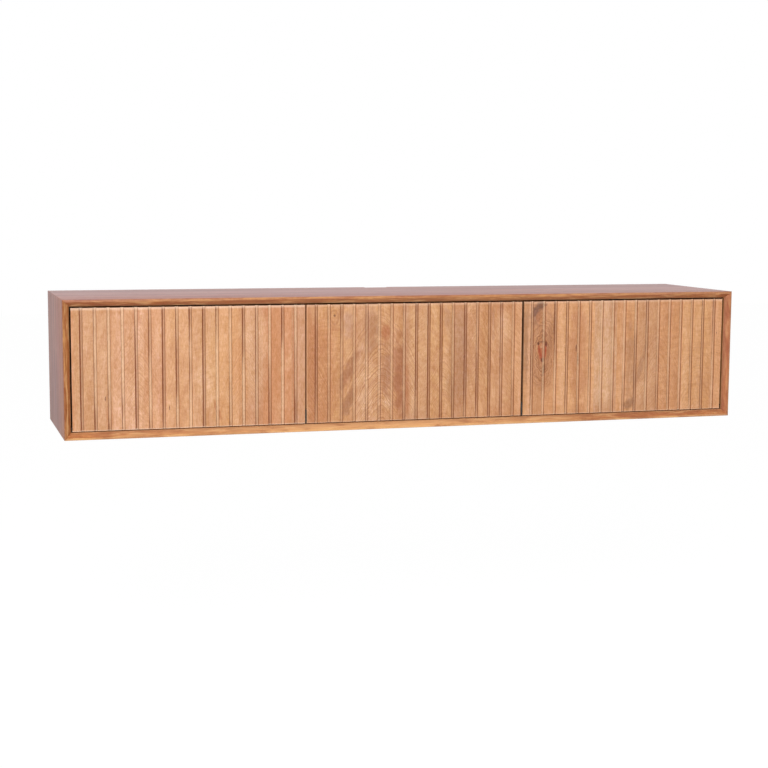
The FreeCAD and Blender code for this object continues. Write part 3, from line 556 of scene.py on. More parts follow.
RIGHT_DOOR_LOOK = dict(
    BASE_LOOK, edges=((0.65, REBATE_SHADE), (0.3, REBATE_SHADE)), seed=17.93,
    tones=((209, 144, 99), (222, 165, 118), (223, 168, 119), (219, 161, 118), (237, 187, 141)),
    rings=0.26, ripple=0.3, groove_pale=0.6, groove_dark=0.5, rim_highlight=0.3,
    bends=((311, 160, 14, 50, 8),),
    figures=(
        (KNOT_RINGS, 311, 166, 46, 120, {"Count": 12}, 0.8, (150, 96, 64)),
        (ARCHES, 610, 110, 70, 130, {"Drop": 0.12, "Spacing": 0.0054}, 0.28, GRAIN),
        (ARCHES, 720, 80, 60, 120, {"Drop": 0.08, "Spacing": 0.008}, 0.22, GRAIN),
    ),
    stains=(
        (300, 190, 42, 200, 14, 0.62, (184, 130, 90)),
        (272, 200, 11, 110, 40, 0.55, GREY),
        (297, 256, 13, 34, 0.3, 110, 0.75, GREY),
        (303, 274, 17, 14, 0.9, 130, 0.8, (112, 76, 60)),
        (291, 258, 11, 13, 0.9, 130, 0.75, (112, 76, 60)),
        (302, 246, 8, 15, 120, 0.5, RED),
        (311, 170, 10, 28, 120, 0.55, (180, 108, 70)),
        (342, 236, 4, 64, 90, 0.85, (104, 68, 50)),
        (330, 200, 12, 70, 0.2, 70, 0.45, (164, 112, 76)),
        (361, 150, 12, 170, 30, 0.35, (230, 180, 136)),
        (404, 150, 26, 170, 30, 0.75, (194, 134, 94)),
        (281, 150, 8, 160, 30, 0.7, (232, 176, 132)),
        (470, 150, 30, 160, 20, 0.3, PALE),
        (537, 120, 14, 120, 40, 0.42, GREY),
        (538, 36, 13, 16, 0.5, 150, 0.55, (128, 88, 62)),
        (565, 120, 8, 70, 0.3, 60, 0.45, GREY),
    ),
    knots=(
        (311, 168, 7.5, 24, 160, 0.6, (184, 104, 66)),
        (307.2, 166, 2.8, 25, -0.18, 200, 0.9, RED_KNOT),
        (315.2, 166, 2.8, 27, 0.15, 200, 0.95, RED_KNOT),
        (311, 190, 8, 2.2, 260, 0.75, KNOT),
        (303.5, 186, 3, 5.6, 260, 0.95, KNOT),
        (318, 185, 2.4, 7, 260, 0.9, KNOT),
        (311, 180, 3.4, 4.4, 260, 0.5, PALE),
        (312, 147, 3, 6, 260, 0.95, KNOT),
        (315.5, 126, 2.2, 15, 200, 0.8, KNOT),
        (398, 172, 2, 10, 260, 0.75, KNOT),
        (404, 146, 2.2, 18, 160, 0.65, KNOT),
        (768, 203, 1.2, 2.2, 300, 0.8, KNOT),
        (771, 154, 1.8, 1, 300, 0.6, KNOT),
    ),
)
# The frame boards' looks differ partly in painted light and shade: the bevel's tint, the rebate, the inner
# edge's shadow and the lighter middle, and on the left side a paler painted reflection outside.
FRAME_LOOK = dict(
    BASE_LOOK, stave=0.078, seed=11.2,
    tones=((184, 118, 70), (200, 137, 86), (208, 148, 90), (202, 138, 90), (220, 165, 112)),
    dark=(156, 94, 52), streak=0.12, cloud=0.6, lacquer=0.15, gloss=0.5, gloss_tint=(0.9, 0.7, 0.96, 1),
    rebate=REBATE_SHADE, rebate_strength=0.3, grime_and_shade=0.3, lift=0, lift_place=-0.1, outer_lift=0, blotch=0.55,
)
TOP_LOOK = dict(
    FRAME_LOOK, strip_tint=(236, 220, 194), bevel_shading=(216, 180, 140), lift=0.2, lift_place=0.05,
)
BOTTOM_LOOK = dict(
    FRAME_LOOK, strip_tint=(255, 252, 238), bevel_shading=(244, 214, 178), rebate=REBATE_LIGHT,
    rebate_strength=0.7, grime_and_shade=0, lift=0.62,
)
LEFT_LOOK = dict(
    FRAME_LOOK, strip_tint=(222, 207, 186), bevel_shading=(228, 202, 172), grime_and_shade=0.9, gloss=0.12, lacquer=0,
    outer_lift=0.3,
    stains=(
        (40, 0, 150, 180, 10, 0.8, (138, 78, 44)),
        (16, 105, 13, 100, 30, 0.85, (96, 44, 38)),
        (108, 60, 10, 60, 30, 0.6, (112, 58, 50)),
    ),
)
RIGHT_LOOK = dict(
    FRAME_LOOK, strip_tint=(244, 228, 208), bevel_shading=(238, 206, 180), rebate_strength=0.45, grime_and_shade=0.4,
    blotch=0.25,
)
PANEL_LOOK = dict(
    BASE_LOOK, stave=0.12, seed=27.5,
    tones=((204, 140, 98), (205, 152, 108), (205, 152, 108), (205, 152, 108), (216, 168, 124)),
)
RAIL_LOOK = dict(
    BASE_LOOK, stave=0.2, seed=40.1, ring=0.004,
    tones=((214, 166, 124), (224, 180, 140), (226, 184, 142), (222, 176, 140), (234, 196, 158)),
    dark=(190, 134, 92), ripple=0.1,
)
BEECH_LOOK = dict(
    BASE_LOOK, stave=0.3, seed=51.7,
    tones=((214, 168, 128), (222, 180, 142), (224, 184, 142), (220, 176, 142), (230, 192, 156)),
    dark=(196, 146, 104),
)


def plain_wood(name, grain, look):
    """A timber material with no further marks."""
    material, net = new_material(name)
    axes, parts = wood_axes(net, grain)
    finish_wood(net, timber(net, axes, look), 0.5, look)
    return material


def outer_tone(net, axes, z, outer, look):
    """The outer face: mauve with long stripes and hair lines, and browner low down. The mauve is partly the
    wood's own tint and partly a painted reflection of the white surroundings.
    """
    stripes = net.grained(axes, 34, 0.7, detail=6, roughness=0.72)
    mauve = net.mix(net.fit(stripes, 0.43, 0.57), MAUVE_SHADE, MAUVE_LIGHT)
    mauve = net.mix(net.fit(stripes, 0.6, 0.68, 0, 0.6), mauve, BROWN_STRIPE)
    mauve = net.mix(look["outer_lift"], mauve, PALE_MAUVE)
    height = net.plus(z, net.centred(stripes, 0.16))
    net.lay(mauve, outer, net.fit(height, -0.02, 0.14, 0.42, 0.68))
    hair_lines = net.minus(net.grained(axes, 420, 9), 0.5)
    net.tone(net.times_plus(hair_lines, outer, 0.5), 0.25, 0.75, 0.16)


def rebate_tone(net, y, facing, look):
    """Painted shade on the inside face behind the bevel, round the doors' edges; on the bottom board painted
    light instead.
    """
    start = net.fit(y, BEVEL_BACK, BEVEL_BACK + MM)
    end = net.fit(y, LOW[1] + 40 * MM, LOW[1] + 28 * MM)
    inside = net.fit(facing, -0.8, -0.95)
    net.lay(look["rebate"], start, end, inside, look["rebate_strength"])


def front_tone(net, axes, x, y, facing, outer, look):
    """The honey brown strip and bevel: blotches, painted light in the middle, painted shade on the bevel
    deepening towards its back, and a painted shadow along its inner edge.
    """
    front = net.fit(y, BEVEL_BACK, bevel_place(0.9))
    bevel = net.times(net.fit(facing, -0.35, -0.6), front)
    # Painted shade on the bevel, deepest on the top board whose bevel faces down, least on the bottom board.
    net.lay(look["bevel_shading"], bevel, blend="MULTIPLY")
    not_outer = net.fit(outer, 0.6, 0.2)
    in_front = net.times(net.math("MAXIMUM", bevel, front), not_outer)
    # Painted light on the middle of the strip and bevel, strongest on the bottom board.
    from_middle = net.math("ABSOLUTE", net.minus(x, look["lift_place"]))
    net.lay(HONEY, in_front, net.fit(from_middle, 0.7, 0.15, 0, look["lift"]))
    blotch = net.grained(axes, 130, 15, detail=4, roughness=0.6, distortion=0.5)
    net.lay(GOLDEN_BLOTCH, in_front, net.fit(blotch, 0.47, 0.36, 0, look["blotch"]))
    net.lay(BROWN_BLOTCH, in_front, net.fit(blotch, 0.52, 0.66, 0, look["blotch"]))
    # Painted shadow along the bevel's inner edge.
    net.lay(REBATE_SHADE, bevel, net.fit(y, bevel_place(0.82), BEVEL_BACK, 0, look["grime_and_shade"]))
    # Painted shade deepening towards the back of the bevel.
    net.lay(BEVEL_SHADE, bevel, net.fit(y, bevel_place(0.3), BEVEL_BACK, 0, 0.3))
    strip = net.fit(y, LOW[1] + MM, LOW[1] + 0.4 * MM)
    net.lay(look["strip_tint"], strip, not_outer, blend="MULTIPLY")


def frame_wood(name, grain, outwards, look):
    """The frame's timber: mauve outside, partly a painted reflection; honey brown in front; painted shade in
    the bevel.
    """
    material, net = new_material(name)
    axes, (x, y, z) = wood_axes(net, grain)
    height = timber(net, axes, look)
    normal = net.add("NewGeometry").outputs["Normal"]
    facing = net.add("VectorMath", {"operation": "DOT_PRODUCT"}, {0: normal, 1: outwards}).outputs[1]
    outer = net.fit(facing, 0.5, 0.9)
    outer_tone(net, axes, z, outer, look)
    rebate_tone(net, y, facing, look)
    front_tone(net, axes, x, y, facing, outer, look)
    finish_wood(net, height, 0.42, look)
    return material


def groove_tone(net, axes, y, look):
    """Torn groove floors, darker in stretches along their length, with a painted shadow line along one side
    and painted shade in the far corner and on the walls. Gives the floors' share and height.
    """
    groove_place = net.add("Attribute", {"attribute_name": "groove"}).outputs["Vector"]
    share, number, unused = net.split(groove_place)
    groove = net.group(TORN_GROOVE, Vector=axes, Share=share, Number=number)
    in_groove = net.math("GREATER_THAN", net.math("FRACT", number), 0.03)
    in_groove = net.times(in_groove, net.math("LESS_THAN", y, DOOR_FRONT + GROOVE_DEPTH * 1.7))
    deep = net.times(in_groove, net.fit(y, DOOR_FRONT + 2.2 * MM, DOOR_FRONT + 3.1 * MM))
    below = net.times(in_groove, net.fit(y, DOOR_FRONT + 0.2 * MM, DOOR_FRONT + 0.9 * MM))
    pale_share = net.fit(groove["Torn"], 0.35, 0.7, look["groove_pale"] * 0.4, look["groove_pale"])
    pale = net.mix(pale_share, net.surface, TORN_FIBRE)
    # Darker floor in random stretches along the groove.
    darker_floor = net.mix(net.fit(groove["Torn"], 0.3, 0.7, 0.3, 0.7), net.surface, DARK_FLOOR)
    floor = net.mix(net.times(groove["Dark"], look["groove_dark"]), pale, darker_floor)
    # The painted shadow of the slat's edge along one side of the floor.
    line_strength = net.times(groove["Line"], net.times_plus(groove["Dark"], 0.45, 0.5))
    floor = net.mix(line_strength, floor, SIDE_SHADOW)
    # Painted shade in the floor's far corner.
    floor = net.mix(net.fit(share, 0.8, 0.98, 0, 0.6), floor, FAR_CORNER_SHADE)
    net.lay(floor, deep)
    # Painted shade on the groove walls.
    net.lay(GROOVE_WALL_SHADE, below, net.minus(1, deep), 0.75)
    return deep, net.times(net.times(groove["Torn"], deep), 2)


def edge_tone(net, x, z, look, box):
    """A door's edges: its two ends, each given painted shade or painted light by its look; its upper and
    lower rims, with a painted highlight; and its end faces, the upper one darker as end grain and as painted
    shade, the lower one painted light.
    """
    (low_x, front, bottom), (high_x, back, top) = box
    sideways, outwards, upwards = net.split(net.add("NewGeometry").outputs["Normal"])
    from_middle = net.math("ABSOLUTE", net.minus(x, (low_x + high_x) / 2))
    at_end = net.math("GREATER_THAN", from_middle, (high_x - low_x) / 2 - MM)
    # Painted shade or painted light on each end face, as the look's edges give.
    for way, (strength, tint) in zip((-1, 1), look["edges"]):
        net.lay(tint, at_end, net.fit(net.times(sideways, way), 0.5, 0.68, 0, strength))
    # Painted highlight along the door's upper and lower rims.
    upper_rim = net.fit(z, top - 7 * MM, top - 2 * MM)
    lower_rim = net.fit(z, bottom + 3 * MM, bottom + MM)
    net.lay(RIM_HIGHLIGHT, net.plus(upper_rim, lower_rim), net.fit(outwards, 0, -0.3), look["rim_highlight"])
    # Painted shade over the darker end grain of the upper end face, and painted light on the lower end face.
    net.lay(END_GRAIN_AND_SHADE, net.fit(upwards, 0.75, 0.92, 0, 0.7))
    net.lay(REBATE_LIGHT, net.fit(upwards, -0.75, -0.92, 0, 0.6))


def door_wood(name, look, box):
    """A door's timber: its marks, its rough grooves and its edges."""
    material, net = new_material(name)
    axes, (x, y, z) = wood_axes(net, "flap")
    height = timber(net, axes, look)
    deep, torn_height = groove_tone(net, axes, y, look)
    edge_tone(net, x, z, look, box)
    finish_wood(net, net.plus(height, torn_height), net.times_plus(deep, 0.35, 0.5), look)
    return material


# ---- metals and plastics

GRIME_TINT = (132, 128, 120)
DUST_TINT = (150, 140, 128)
FINE_RELIEF = 0.1 * MM


def build_scratches(net, given):
    """Fine scratches, and how rough they leave the surface."""
    lines = net.noise(given["Vector"], scale=given["Scale"], detail=3, roughness=0.7)
    return {"Height": lines, "Roughness": net.fit(lines, 0.3, 0.7, given["Low"], given["High"])}


def build_grime(net, given):
    """Dust and dull patches that gather unevenly."""
    patches = net.noise(given["Vector"], scale=given["Scale"], detail=4, roughness=0.62)
    specks = net.noise(given["Vector"], scale=1400)
    gathered = net.plus(patches, net.centred(specks, 0.2))
    return {"Mask": net.fit(gathered, 0.46, 0.78, 0, given["Cover"], smooth=True)}


SCRATCHES = node_group("scratches", build_scratches, Vector=None, Scale=600, Low=0.3, High=0.5)
GRIME = node_group("grime_and_shade", build_grime, Vector=None, Scale=60, Cover=0.3)


def metal(name, tint, roughness, brushed=(1, 1, 1), cover=0.3):
    """Metal with fine scratches and a little dirt."""
    material, net = new_material(name)
    place = net.add("TexCoord").outputs["Object"]
    along = net.scaled(place, *brushed)
    scratches = net.group(SCRATCHES, Vector=along, Low=roughness - 0.07, High=roughness + 0.08)
    grime_and_shade = net.group(GRIME, Vector=place, Cover=cover)["Mask"]
    shade(net, scratches["Height"], 0.12, FINE_RELIEF, {
        "Base Color": net.mix(grime_and_shade, tint, GRIME_TINT),
        "Metallic": 1,
        "Roughness": net.times_plus(grime_and_shade, 0.4, scratches["Roughness"]),
    })
    return material


def coated(name, tint, roughness, grain):
    """Powder coat or moulded plastic: a fine texture and a little dust."""
    material, net = new_material(name)
    place = net.add("TexCoord").outputs["Object"]
    texture = net.group(SCRATCHES, Vector=place, Scale=grain, Low=roughness - 0.05, High=roughness + 0.05)
    dust = net.group(GRIME, Vector=place, Scale=45, Cover=0.25)["Mask"]
    shade(net, texture["Height"], 0.3, FINE_RELIEF, {
        "Base Color": net.mix(dust, tint, DUST_TINT),
        "Roughness": net.times_plus(dust, 0.3, texture["Roughness"]),
    })
    return material


# ---- shapes

WELD = 1e-7
SMOOTH_LIMIT = math.radians(32)
RIGHTWARDS, LEFTWARDS = (1, 0, 0), (-1, 0, 0)
BACK, FORWARD = (0, 1, 0), (0, -1, 0)
UP, DOWN = (0, 0, 1), (0, 0, -1)


def points_of(parts):
    """The points among what a step has made."""
    return [part for part in parts if isinstance(part, bmesh.types.BMVert)]


def edges_of(parts):
    """The edges among what a step has made."""
    return [part for part in parts if isinstance(part, bmesh.types.BMEdge)]


def pull_up(form, corners, height):
    """A solid from the corners of a flat outline."""
    grown = bmesh.ops.extrude_face_region(form, geom=[form.faces.new(corners)])
    bmesh.ops.translate(form, verts=points_of(grown["geom"]), vec=(0, 0, height))


def cut_plane(form, point, normal, **choices):
    """Cut a solid through along a plane."""
    parts = form.verts[:] + form.edges[:] + form.faces[:]
    return bmesh.ops.bisect_plane(form, geom=parts, dist=WELD, plane_co=point, plane_no=normal, **choices)


def shave(form, point, normal):
    """Take off everything beyond a plane and close the cut."""
    cut = cut_plane(form, point, Vector(normal).normalized(), clear_outer=True)
    rim = [edge for edge in edges_of(cut["geom_cut"]) if edge.is_boundary]
    bmesh.ops.holes_fill(form, edges=rim, sides=0)


def round_corner(form, corner, first, second, radius, steps=3):
    """Ease an outer corner. first and second point out of the two faces that meet there."""
    first, second = Vector(first), Vector(second)
    middle = Vector(corner) - (first + second) * radius
    for step in range(1, steps + 1):
        turn = math.radians(90 * step / (steps + 1))
        out = first * math.cos(turn) + second * math.sin(turn)
        shave(form, middle + out * radius, out)


def linked(name, data):
    """An object in the scene."""
    thing = bpy.data.objects.new(name, data)
    bpy.context.scene.collection.objects.link(thing)
    return thing


def as_object(form, name, material):
    """The finished object, smooth except at its edges."""
    bmesh.ops.recalc_face_normals(form, faces=form.faces)
    for face in form.faces:
        face.smooth = True
    for edge in form.edges:
        edge.smooth = len(edge.link_faces) == 2 and edge.calc_face_angle(0) < SMOOTH_LIMIT
    mesh = bpy.data.meshes.new(name)
    form.to_mesh(mesh)
    form.free()
    mesh.materials.append(material)
    return linked(name, mesh)


BODY_OF = {node: body for body, nodes in frame["record"]["behaviour"]["bodies"].items() for node in nodes}
SLOT_OF = {part["node"]: part["material_slot"] for part in frame["record"]["subparts"]}


def stands_for(thing, node):
    """A finished piece takes the place of one CAD node."""
    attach(thing, BODY_OF[node])
    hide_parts(node)


def board_form(half_length, strip, notched):
    """A mitred board along X with its outer face upwards, from 0 to BOARD."""
    front, back = LOW[1], HIGH[1]
    corners = [(-half_length, front), (half_length, front), (half_length, back)]
    if notched:
        half = NOTCH_WIDTH / 2
        corners += [(half, back), (half, back - NOTCH_DEPTH), (-half, back - NOTCH_DEPTH), (-half, back)]
    corners += [(-half_length, back)]
    form = bmesh.new()
    pull_up(form, [form.verts.new((x, y, 0)) for x, y in corners], BOARD)
    bmesh.ops.recalc_face_normals(form, faces=form.faces)
    rise = BOARD - strip
    shave(form, (0, front, rise), (0, -rise, -BEVEL_DEPTH))
    round_corner(form, (0, front, BOARD), FORWARD, UP, OUTER_ARRIS)
    round_corner(form, (0, back, BOARD), BACK, UP, INNER_ARRIS, 2)
    for side in (-1, 1):
        shave(form, (side * half_length, 0, BOARD), (side, 0, -1))
        round_corner(form, (side * half_length, 0, BOARD), (side, 0, 0), UP, OUTER_ARRIS)
    return form


def frame_board(node, half_length, placing, material):
    """One board of the frame in its place. The top board has a wider strip and the notch."""
    on_top = node == "top_board"
    form = board_form(half_length, TOP_FRONT_STRIP if on_top else FRONT_STRIP, on_top)
    bmesh.ops.transform(form, matrix=placing, verts=form.verts)
    stands_for(as_object(form, "finished_" + node, material), node)


# A groove's corners: from which edge (0 left, 1 right), how far aside, how deep, and the share across.
GROOVE_PROFILE = (
    (0, -SLAT_EDGE, 0, 0),
    (0, -SLAT_EDGE_BEND, SLAT_EDGE_BEND, 0),
    (0, 0, SLAT_EDGE, 0),
    (0, GROOVE_WALL_LEAN, GROOVE_DEPTH, 0),
    (0, GROOVE_WIDTH * 0.35, GROOVE_DEPTH, 0.35),
    (0, GROOVE_WIDTH * 0.7, GROOVE_DEPTH, 0.7),
    (1, -GROOVE_WALL_LEAN, GROOVE_DEPTH, 1),
    (1, 0, SLAT_EDGE, 1),
    (1, SLAT_EDGE_BEND, SLAT_EDGE_BEND, 1),
    (1, SLAT_EDGE, 0, 1),
)
# The attribute "groove" of a flap's points holds their share across, and their door's number plus a code for
# their groove, in twentieths. No groove has the code 0.
GROOVE_CODES = 20


def groove_outline(low, high):
    """Corners of a flap seen from above, each with its groove number and share across."""
    slat = (high[0] - low[0] - 2 * END_SLAT - GROOVES * GROOVE_WIDTH) / (GROOVES - 1)
    front = low[1]
    start = [(low[0], high[1]), (low[0], front + FLAP_ARRIS), (low[0] + FLAP_ARRIS, front)]
    end = [(high[0] - FLAP_ARRIS, front), (high[0], front + FLAP_ARRIS), (high[0], high[1])]
    corners = []
    for number in range(GROOVES):
        left = low[0] + END_SLAT + number * (GROOVE_WIDTH + slat)
        for edge, aside, depth, share in GROOVE_PROFILE:
            corners.append((left + edge * GROOVE_WIDTH + aside, front + depth, number, share))
    plain = [[(x, y, -1, 0) for x, y in places] for places in (start, end)]
    return plain[0] + corners + plain[1]


def row_heights(low, high):
    """Heights at which a flap is cut into rows, close together in its rounded ends."""
    ends = [1 - math.cos(math.radians(turn)) for turn in (20, 40, 60, 75, 90)]
    rows = [low + LOWER_ARRIS * rise for rise in ends] + [high - SLAT_ARRIS * rise for rise in ends]
    inner_low, inner_high = low + LOWER_ARRIS, high - SLAT_ARRIS
    return rows + [inner_low + (inner_high - inner_low) * step / FLAP_ROWS for step in range(1, FLAP_ROWS)]


def wander(point, low, high):
    """Let a groove sway and its edges chatter, as hand-guided routing does."""
    place, margin = point.co.copy(), END_SLAT * 0.7
    if low[0] + margin < place.x < high[0] - margin and place.y < low[1] + 6 * MM:
        sway = noise.noise(Vector((place.x * WANDER_CELLS[0], 3.1, place.z * WANDER_CELLS[1])))
        chatter = noise.noise(Vector((place.x * CHATTER_CELLS[0], 7.7, place.z * CHATTER_CELLS[1])))
        point.co.x += sway * GROOVE_WANDER + chatter * CUTTER_CHATTER * 0.5
        if place.y > low[1] + GROOVE_DEPTH * 0.9:
            point.co.y += chatter * CUTTER_CHATTER


def ease(point, low, high):
    """Round the flap's upper and lower edges."""
    for radius, depth in ((LOWER_ARRIS, point.co.z - low[2]), (SLAT_ARRIS, high[2] - point.co.z)):
        if depth < radius:
            curve = math.sqrt(max(radius ** 2 - (radius - depth) ** 2, 0))
            point.co.y = max(point.co.y, low[1] + radius - curve)


def flap(side, material):
    """One grooved door panel."""
    node = side + "_flap"
    low, high = (Vector(corner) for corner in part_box(node))
    low.x += BUSH_STAND
    high.x -= BUSH_STAND
    form = bmesh.new()
    number_of = form.verts.layers.float_vector.new("groove")
    loop = []
    for x, y, number, share in groove_outline(low, high):
        corner = form.verts.new((x, y, low[2]))
        corner[number_of] = (share, (number + 1) / GROOVE_CODES + SIDES.index(side), 0)
        loop.append(corner)
    pull_up(form, loop, high[2] - low[2])
    for height in row_heights(low[2], high[2]):
        cut_plane(form, (0, 0, height), UP)
    for point in form.verts:
        wander(point, low, high)
        ease(point, low, high)
    stands_for(as_object(form, side + "_door_panel", material), node)


SCREW_HEAD = 3 * MM
SCREW_SHANK = 1.75 * MM
HEAD_CONE = 2 * MM
SCREW_TIP = 2 * MM
RECESS_ARM = 1.7 * MM
RECESS_HALF = 0.36 * MM
RECESS_DEPTH = 1.2 * MM
RIM = 24


def ring(form, corners):
    """A closed row of points at height 0, and its edges."""
    points = [form.verts.new((x, y, 0)) for x, y in corners]
    return [form.edges.new((points[step - 1], points[step])) for step in range(len(points))]


def cross_corners(arm, half):
    """The twelve corners of a cross recess."""
    quarter = [(arm, -half), (arm, half), (half, half)]
    turns = [Matrix.Rotation(math.radians(90 * step), 2) for step in range(4)]
    return [tuple(turn @ Vector(corner)) for turn in turns for corner in quarter]


def grown_ring(form, edges, travel, share):
    """Pull a row of edges on, shrink it and give the new row."""
    grown = bmesh.ops.extrude_edge_only(form, edges=edges)["geom"]
    bmesh.ops.translate(form, verts=points_of(grown), vec=(0, 0, travel))
    bmesh.ops.scale(form, verts=points_of(grown), vec=(share, share, 1))
    return edges_of(grown)


def screw_form(length):
    """A countersunk screw with a cross recess, from 0 down along -Z."""
    form = bmesh.new()
    turns = [math.tau * step / RIM for step in range(RIM)]
    rim = ring(form, [(SCREW_HEAD * math.cos(turn), SCREW_HEAD * math.sin(turn)) for turn in turns])
    recess = ring(form, cross_corners(RECESS_ARM, RECESS_HALF))
    bmesh.ops.triangle_fill(form, use_beauty=True, edges=rim + recess)
    floor = grown_ring(form, recess, -RECESS_DEPTH, 0.45)
    bmesh.ops.triangle_fill(form, use_beauty=True, edges=floor)
    neck = grown_ring(form, rim, -HEAD_CONE, SCREW_SHANK / SCREW_HEAD)
    shank = grown_ring(form, neck, HEAD_CONE + SCREW_TIP - length, 0.8)
    tip = grown_ring(form, shank, -SCREW_TIP, 0.15)
    bmesh.ops.triangle_fill(form, use_beauty=True, edges=tip)
    return form


def screws(node, length, heads, material):
    """All the screws of one node. heads are (place in millimetres, direction, turn of the recess)."""
    gathered = bmesh.new()
    for place, pointing, turn in heads:
        single = screw_form(length)
        facing = Vector(pointing).to_track_quat("-Z", "Y").to_matrix().to_4x4()
        spun = Matrix.Rotation(math.radians(turn), 4, "Z")
        placing = Matrix.Translation(Vector(place) * MM) @ facing @ spun
        bmesh.ops.transform(single, matrix=placing, verts=single.verts)
        part = bpy.data.meshes.new("screw")
        single.to_mesh(part)
        single.free()
        gathered.from_mesh(part)
        bpy.data.meshes.remove(part)
    stands_for(as_object(gathered, "finished_" + node, material), node)


# ---- build

for side, look in zip(SIDES, (LEFT_DOOR_LOOK, MIDDLE_DOOR_LOOK, RIGHT_DOOR_LOOK)):
    flap(side, door_wood(side + " door wood", look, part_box(side + "_flap")))

half_width = HIGH[0]
half_height = (HIGH[2] - LOW[2]) / 2
middle_height = Matrix.Translation((0, 0, half_height))
upright = Matrix.Rotation(math.radians(90), 4, "Y")
lift = Matrix.Translation((0, 0, half_height - BOARD))
shift = Matrix.Translation((0, 0, half_width - BOARD))
flip = Matrix.Diagonal((1, 1, -1, 1))
mirror = Matrix.Diagonal((-1, 1, 1, 1))
frame_boards = (
    ("top_board", "level", UP, TOP_LOOK, half_width, lift),
    ("bottom_board", "level", DOWN, BOTTOM_LOOK, half_width, flip @ lift),
    ("right_side_board", "side", RIGHTWARDS, RIGHT_LOOK, half_height, upright @ shift),
    ("left_side_board", "side", LEFTWARDS, LEFT_LOOK, half_height, mirror @ upright @ shift),
)
for node, grain, outwards, look, half_length, placing in frame_boards:
    wood = frame_wood(node.replace("_side", "").replace("_", " ") + " wood", grain, outwards, look)
    frame_board(node, half_length, middle_height @ placing, wood)

zinc = metal("zinc plated steel", (196, 194, 184), 0.38)
finishes = {
    "frame_timber": plain_wood("inner frame wood", "side", FRAME_LOOK),
    "panel_timber": plain_wood("back panel wood", "flap", PANEL_LOOK),
    "rail_timber": plain_wood("rail wood", "rail", RAIL_LOOK),
    "beech": plain_wood("beech", "rail", BEECH_LOOK),
    "zinc_screw": zinc,
    "bright_steel": metal("satin nickel plated steel", (186, 186, 190), 0.34, (0.2, 1, 1), 0.12),
    "dark_steel": coated("black powder coat", (38, 38, 40), 0.5, 2600),
    "brass": metal("turned brass", (204, 164, 96), 0.28),
    "grey_plastic": coated("grey moulded plastic", (108, 108, 110), 0.52, 3800),
}

SHORT, LONG = 12 * MM, 18 * MM
# Places of screws, in millimetres.
BACK_SCREWS = [(x, 151, z) for x in (-745, -301.58, -221.08, 221.08, 301.58, 745) for z in (45, 259)]
PIVOT_SCREWS = [(-266.33, -142.5, 23), (-256.33, -142.5, 58), (256.33, -142.5, 23), (266.33, -142.5, 58)]
LATCH_MIDDLES = {"left": -522.67, "middle": 0, "right": 522.67}
LATCH_SCREWS = [(x + step, -127.2, 286) for x in LATCH_MIDDLES.values() for step in (-14, 14)]
STAY_COLUMNS = {"left": -755, "middle": -222.33, "right": 755}
WALL_BRACKETS = ((-782, LEFTWARDS), (-249.33, LEFTWARDS), (782, RIGHTWARDS))
turns = random.Random(7)


def heads(places, pointing):
    """Screws that point one way, each with its recess turned differently."""
    return [(place, pointing, turns.uniform(0, 90)) for place in places]


screws("back_panel_screws", LONG, heads(BACK_SCREWS, BACK), zinc)
screws("centre_pivot_bracket_screws", SHORT, heads(PIVOT_SCREWS, BACK), zinc)
screws("latch_screws", SHORT, heads(LATCH_SCREWS, UP), zinc)
plates = [heads([(x, -63.73, z) for z in (126.56, 154.56)], pointing) for x, pointing in WALL_BRACKETS]
screws("stay_wall_bracket_screws", SHORT, sum(plates, []), zinc)
for side in SIDES:
    on_bracket = [(STAY_COLUMNS[side], -143, z) for z in (157.44, 185.44)]
    screws(side + "_flap_bracket_screws", SHORT, heads(on_bracket, FORWARD), zinc)
    on_strike = [(LATCH_MIDDLES[side] + step, -143.5, 278) for step in (-7, 7)]
    screws(side + "_strike_plate_screws", SHORT, heads(on_strike, FORWARD), zinc)

# The side pivot pins get a dark metal that stands for the shade in the doors' side gaps.
shade_dark = metal("blued steel pin", (62, 56, 52), 0.6)
for name, thing in frame["nodes"].items():
    if not thing.hide_render:
        thing.data.materials.clear()
        thing.data.materials.append(shade_dark if name.endswith("side_pivot_pin") else finishes[SLOT_OF[name]])


# ---- stage, light and camera

AMBIENT = 0.28
WHITE = (1, 1, 1, 1)
FLOOR_GREY = (0.9, 0.9, 0.9, 1)
FLOOR_PALE_GREY = (0.92, 0.92, 0.92, 1)
FLOOR_GLOW = 1.075
FLOOR_GLOW_SHARE = 0.9
FLOOR_HEIGHT = -0.75
FLOOR_REACH = 14


def area_light(name, place, target, size, power):
    """A square soft light aimed at a point."""
    lamp = bpy.data.lights.new(name, "AREA")
    lamp.shape = "SQUARE"
    lamp.size = size
    lamp.energy = power
    thing = linked(name, lamp)
    thing.location = place
    thing.rotation_euler = (Vector(target) - Vector(place)).to_track_quat("-Z", "Y").to_euler()


def direct_view(net):
    """1 for what the eye sees, also in a mirror or through glass, and 0 for scattered light."""
    path = net.add("LightPath").outputs
    seen = net.math("MAXIMUM", path["Is Camera Ray"], path["Is Glossy Ray"])
    return net.math("MAXIMUM", seen, path["Is Transmission Ray"])


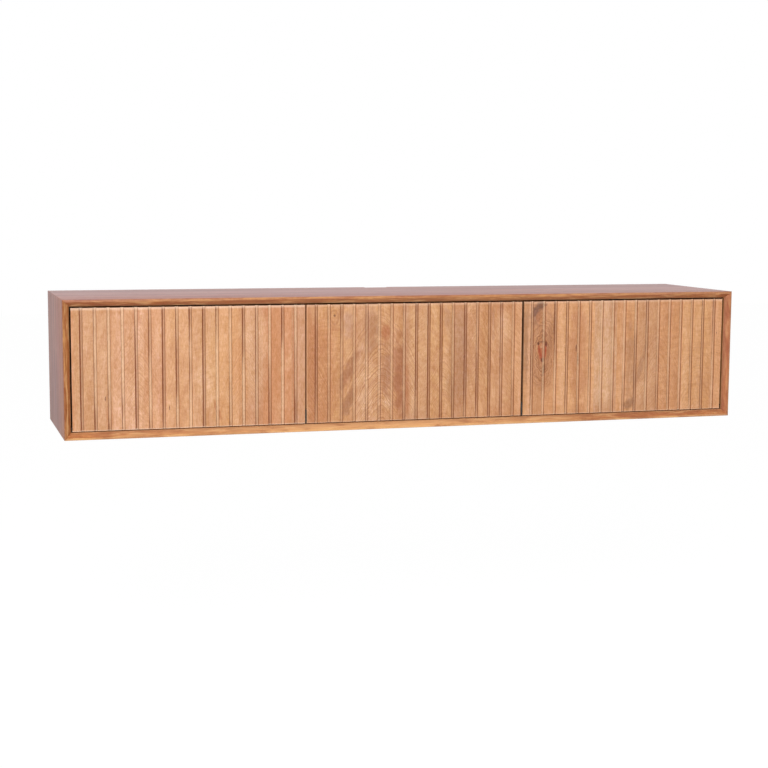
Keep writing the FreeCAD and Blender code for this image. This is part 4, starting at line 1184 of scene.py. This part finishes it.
def floor_material():
    """Studio floor that stays white to the eye but keeps a soft shadow."""
    material, net = new_material("studio floor")
    sweep = net.noise(net.add("TexCoord").outputs["Object"], scale=3)
    plain = net.mix(sweep, FLOOR_GREY, FLOOR_PALE_GREY)
    diffuse = net.add("BsdfDiffuse", inputs={"Color": plain}).outputs[0]
    glow = net.add("Emission", inputs={"Color": WHITE, "Strength": FLOOR_GLOW}).outputs[0]
    share = net.times(direct_view(net), FLOOR_GLOW_SHARE)
    mixed = net.add("MixShader", inputs={0: share, 1: diffuse, 2: glow}).outputs[0]
    net.add("OutputMaterial", inputs={"Surface": mixed})
    return material


def studio_world():
    """White surroundings for the eye, and a softer level for the light they give."""
    world = bpy.data.worlds.new("studio")
    world.use_nodes = True
    world.node_tree.nodes.clear()
    net = Net(world.node_tree)
    strength = net.times_plus(direct_view(net), 1 - AMBIENT, AMBIENT)
    light = net.add("Background", inputs={"Color": WHITE, "Strength": strength}).outputs[0]
    net.add("OutputWorld", inputs={"Surface": light})
    bpy.context.scene.world = world


plane = bmesh.new()
bmesh.ops.create_grid(plane, x_segments=2, y_segments=2, size=FLOOR_REACH)
bmesh.ops.translate(plane, verts=plane.verts, vec=(0, 0, FLOOR_HEIGHT))
floor = as_object(plane, "studio floor", floor_material())
studio_world()
area_light("key light", (-1.5, -3.9, 2), target=(0, 0, 0.15), size=1.6, power=135)
area_light("fill light", (3.2, -3.4, 1.6), target=(0.2, 0, 0.15), size=2, power=22)

CAMERA_HEADING = -16.979
CAMERA_DIP = 6.7113
CAMERA_ROLL = 0.3327

camera_data = bpy.data.cameras.new("camera")
camera_data.sensor_fit = "HORIZONTAL"
camera_data.sensor_width = 36
camera_data.lens = 73.163
camera = linked("camera", camera_data)
camera.location = (-1.112906, -3.552915, 0.518585)
heading = Matrix.Rotation(math.radians(CAMERA_HEADING), 4, "Z")
dip = Matrix.Rotation(math.radians(90 - CAMERA_DIP), 4, "X")
roll = Matrix.Rotation(math.radians(CAMERA_ROLL), 4, "Z")
camera.rotation_euler = (heading @ dip @ roll).to_euler()
bpy.context.scene.camera = camera
bpy.context.scene.view_settings.view_transform = "Standard"

bpy.context.view_layer.update()
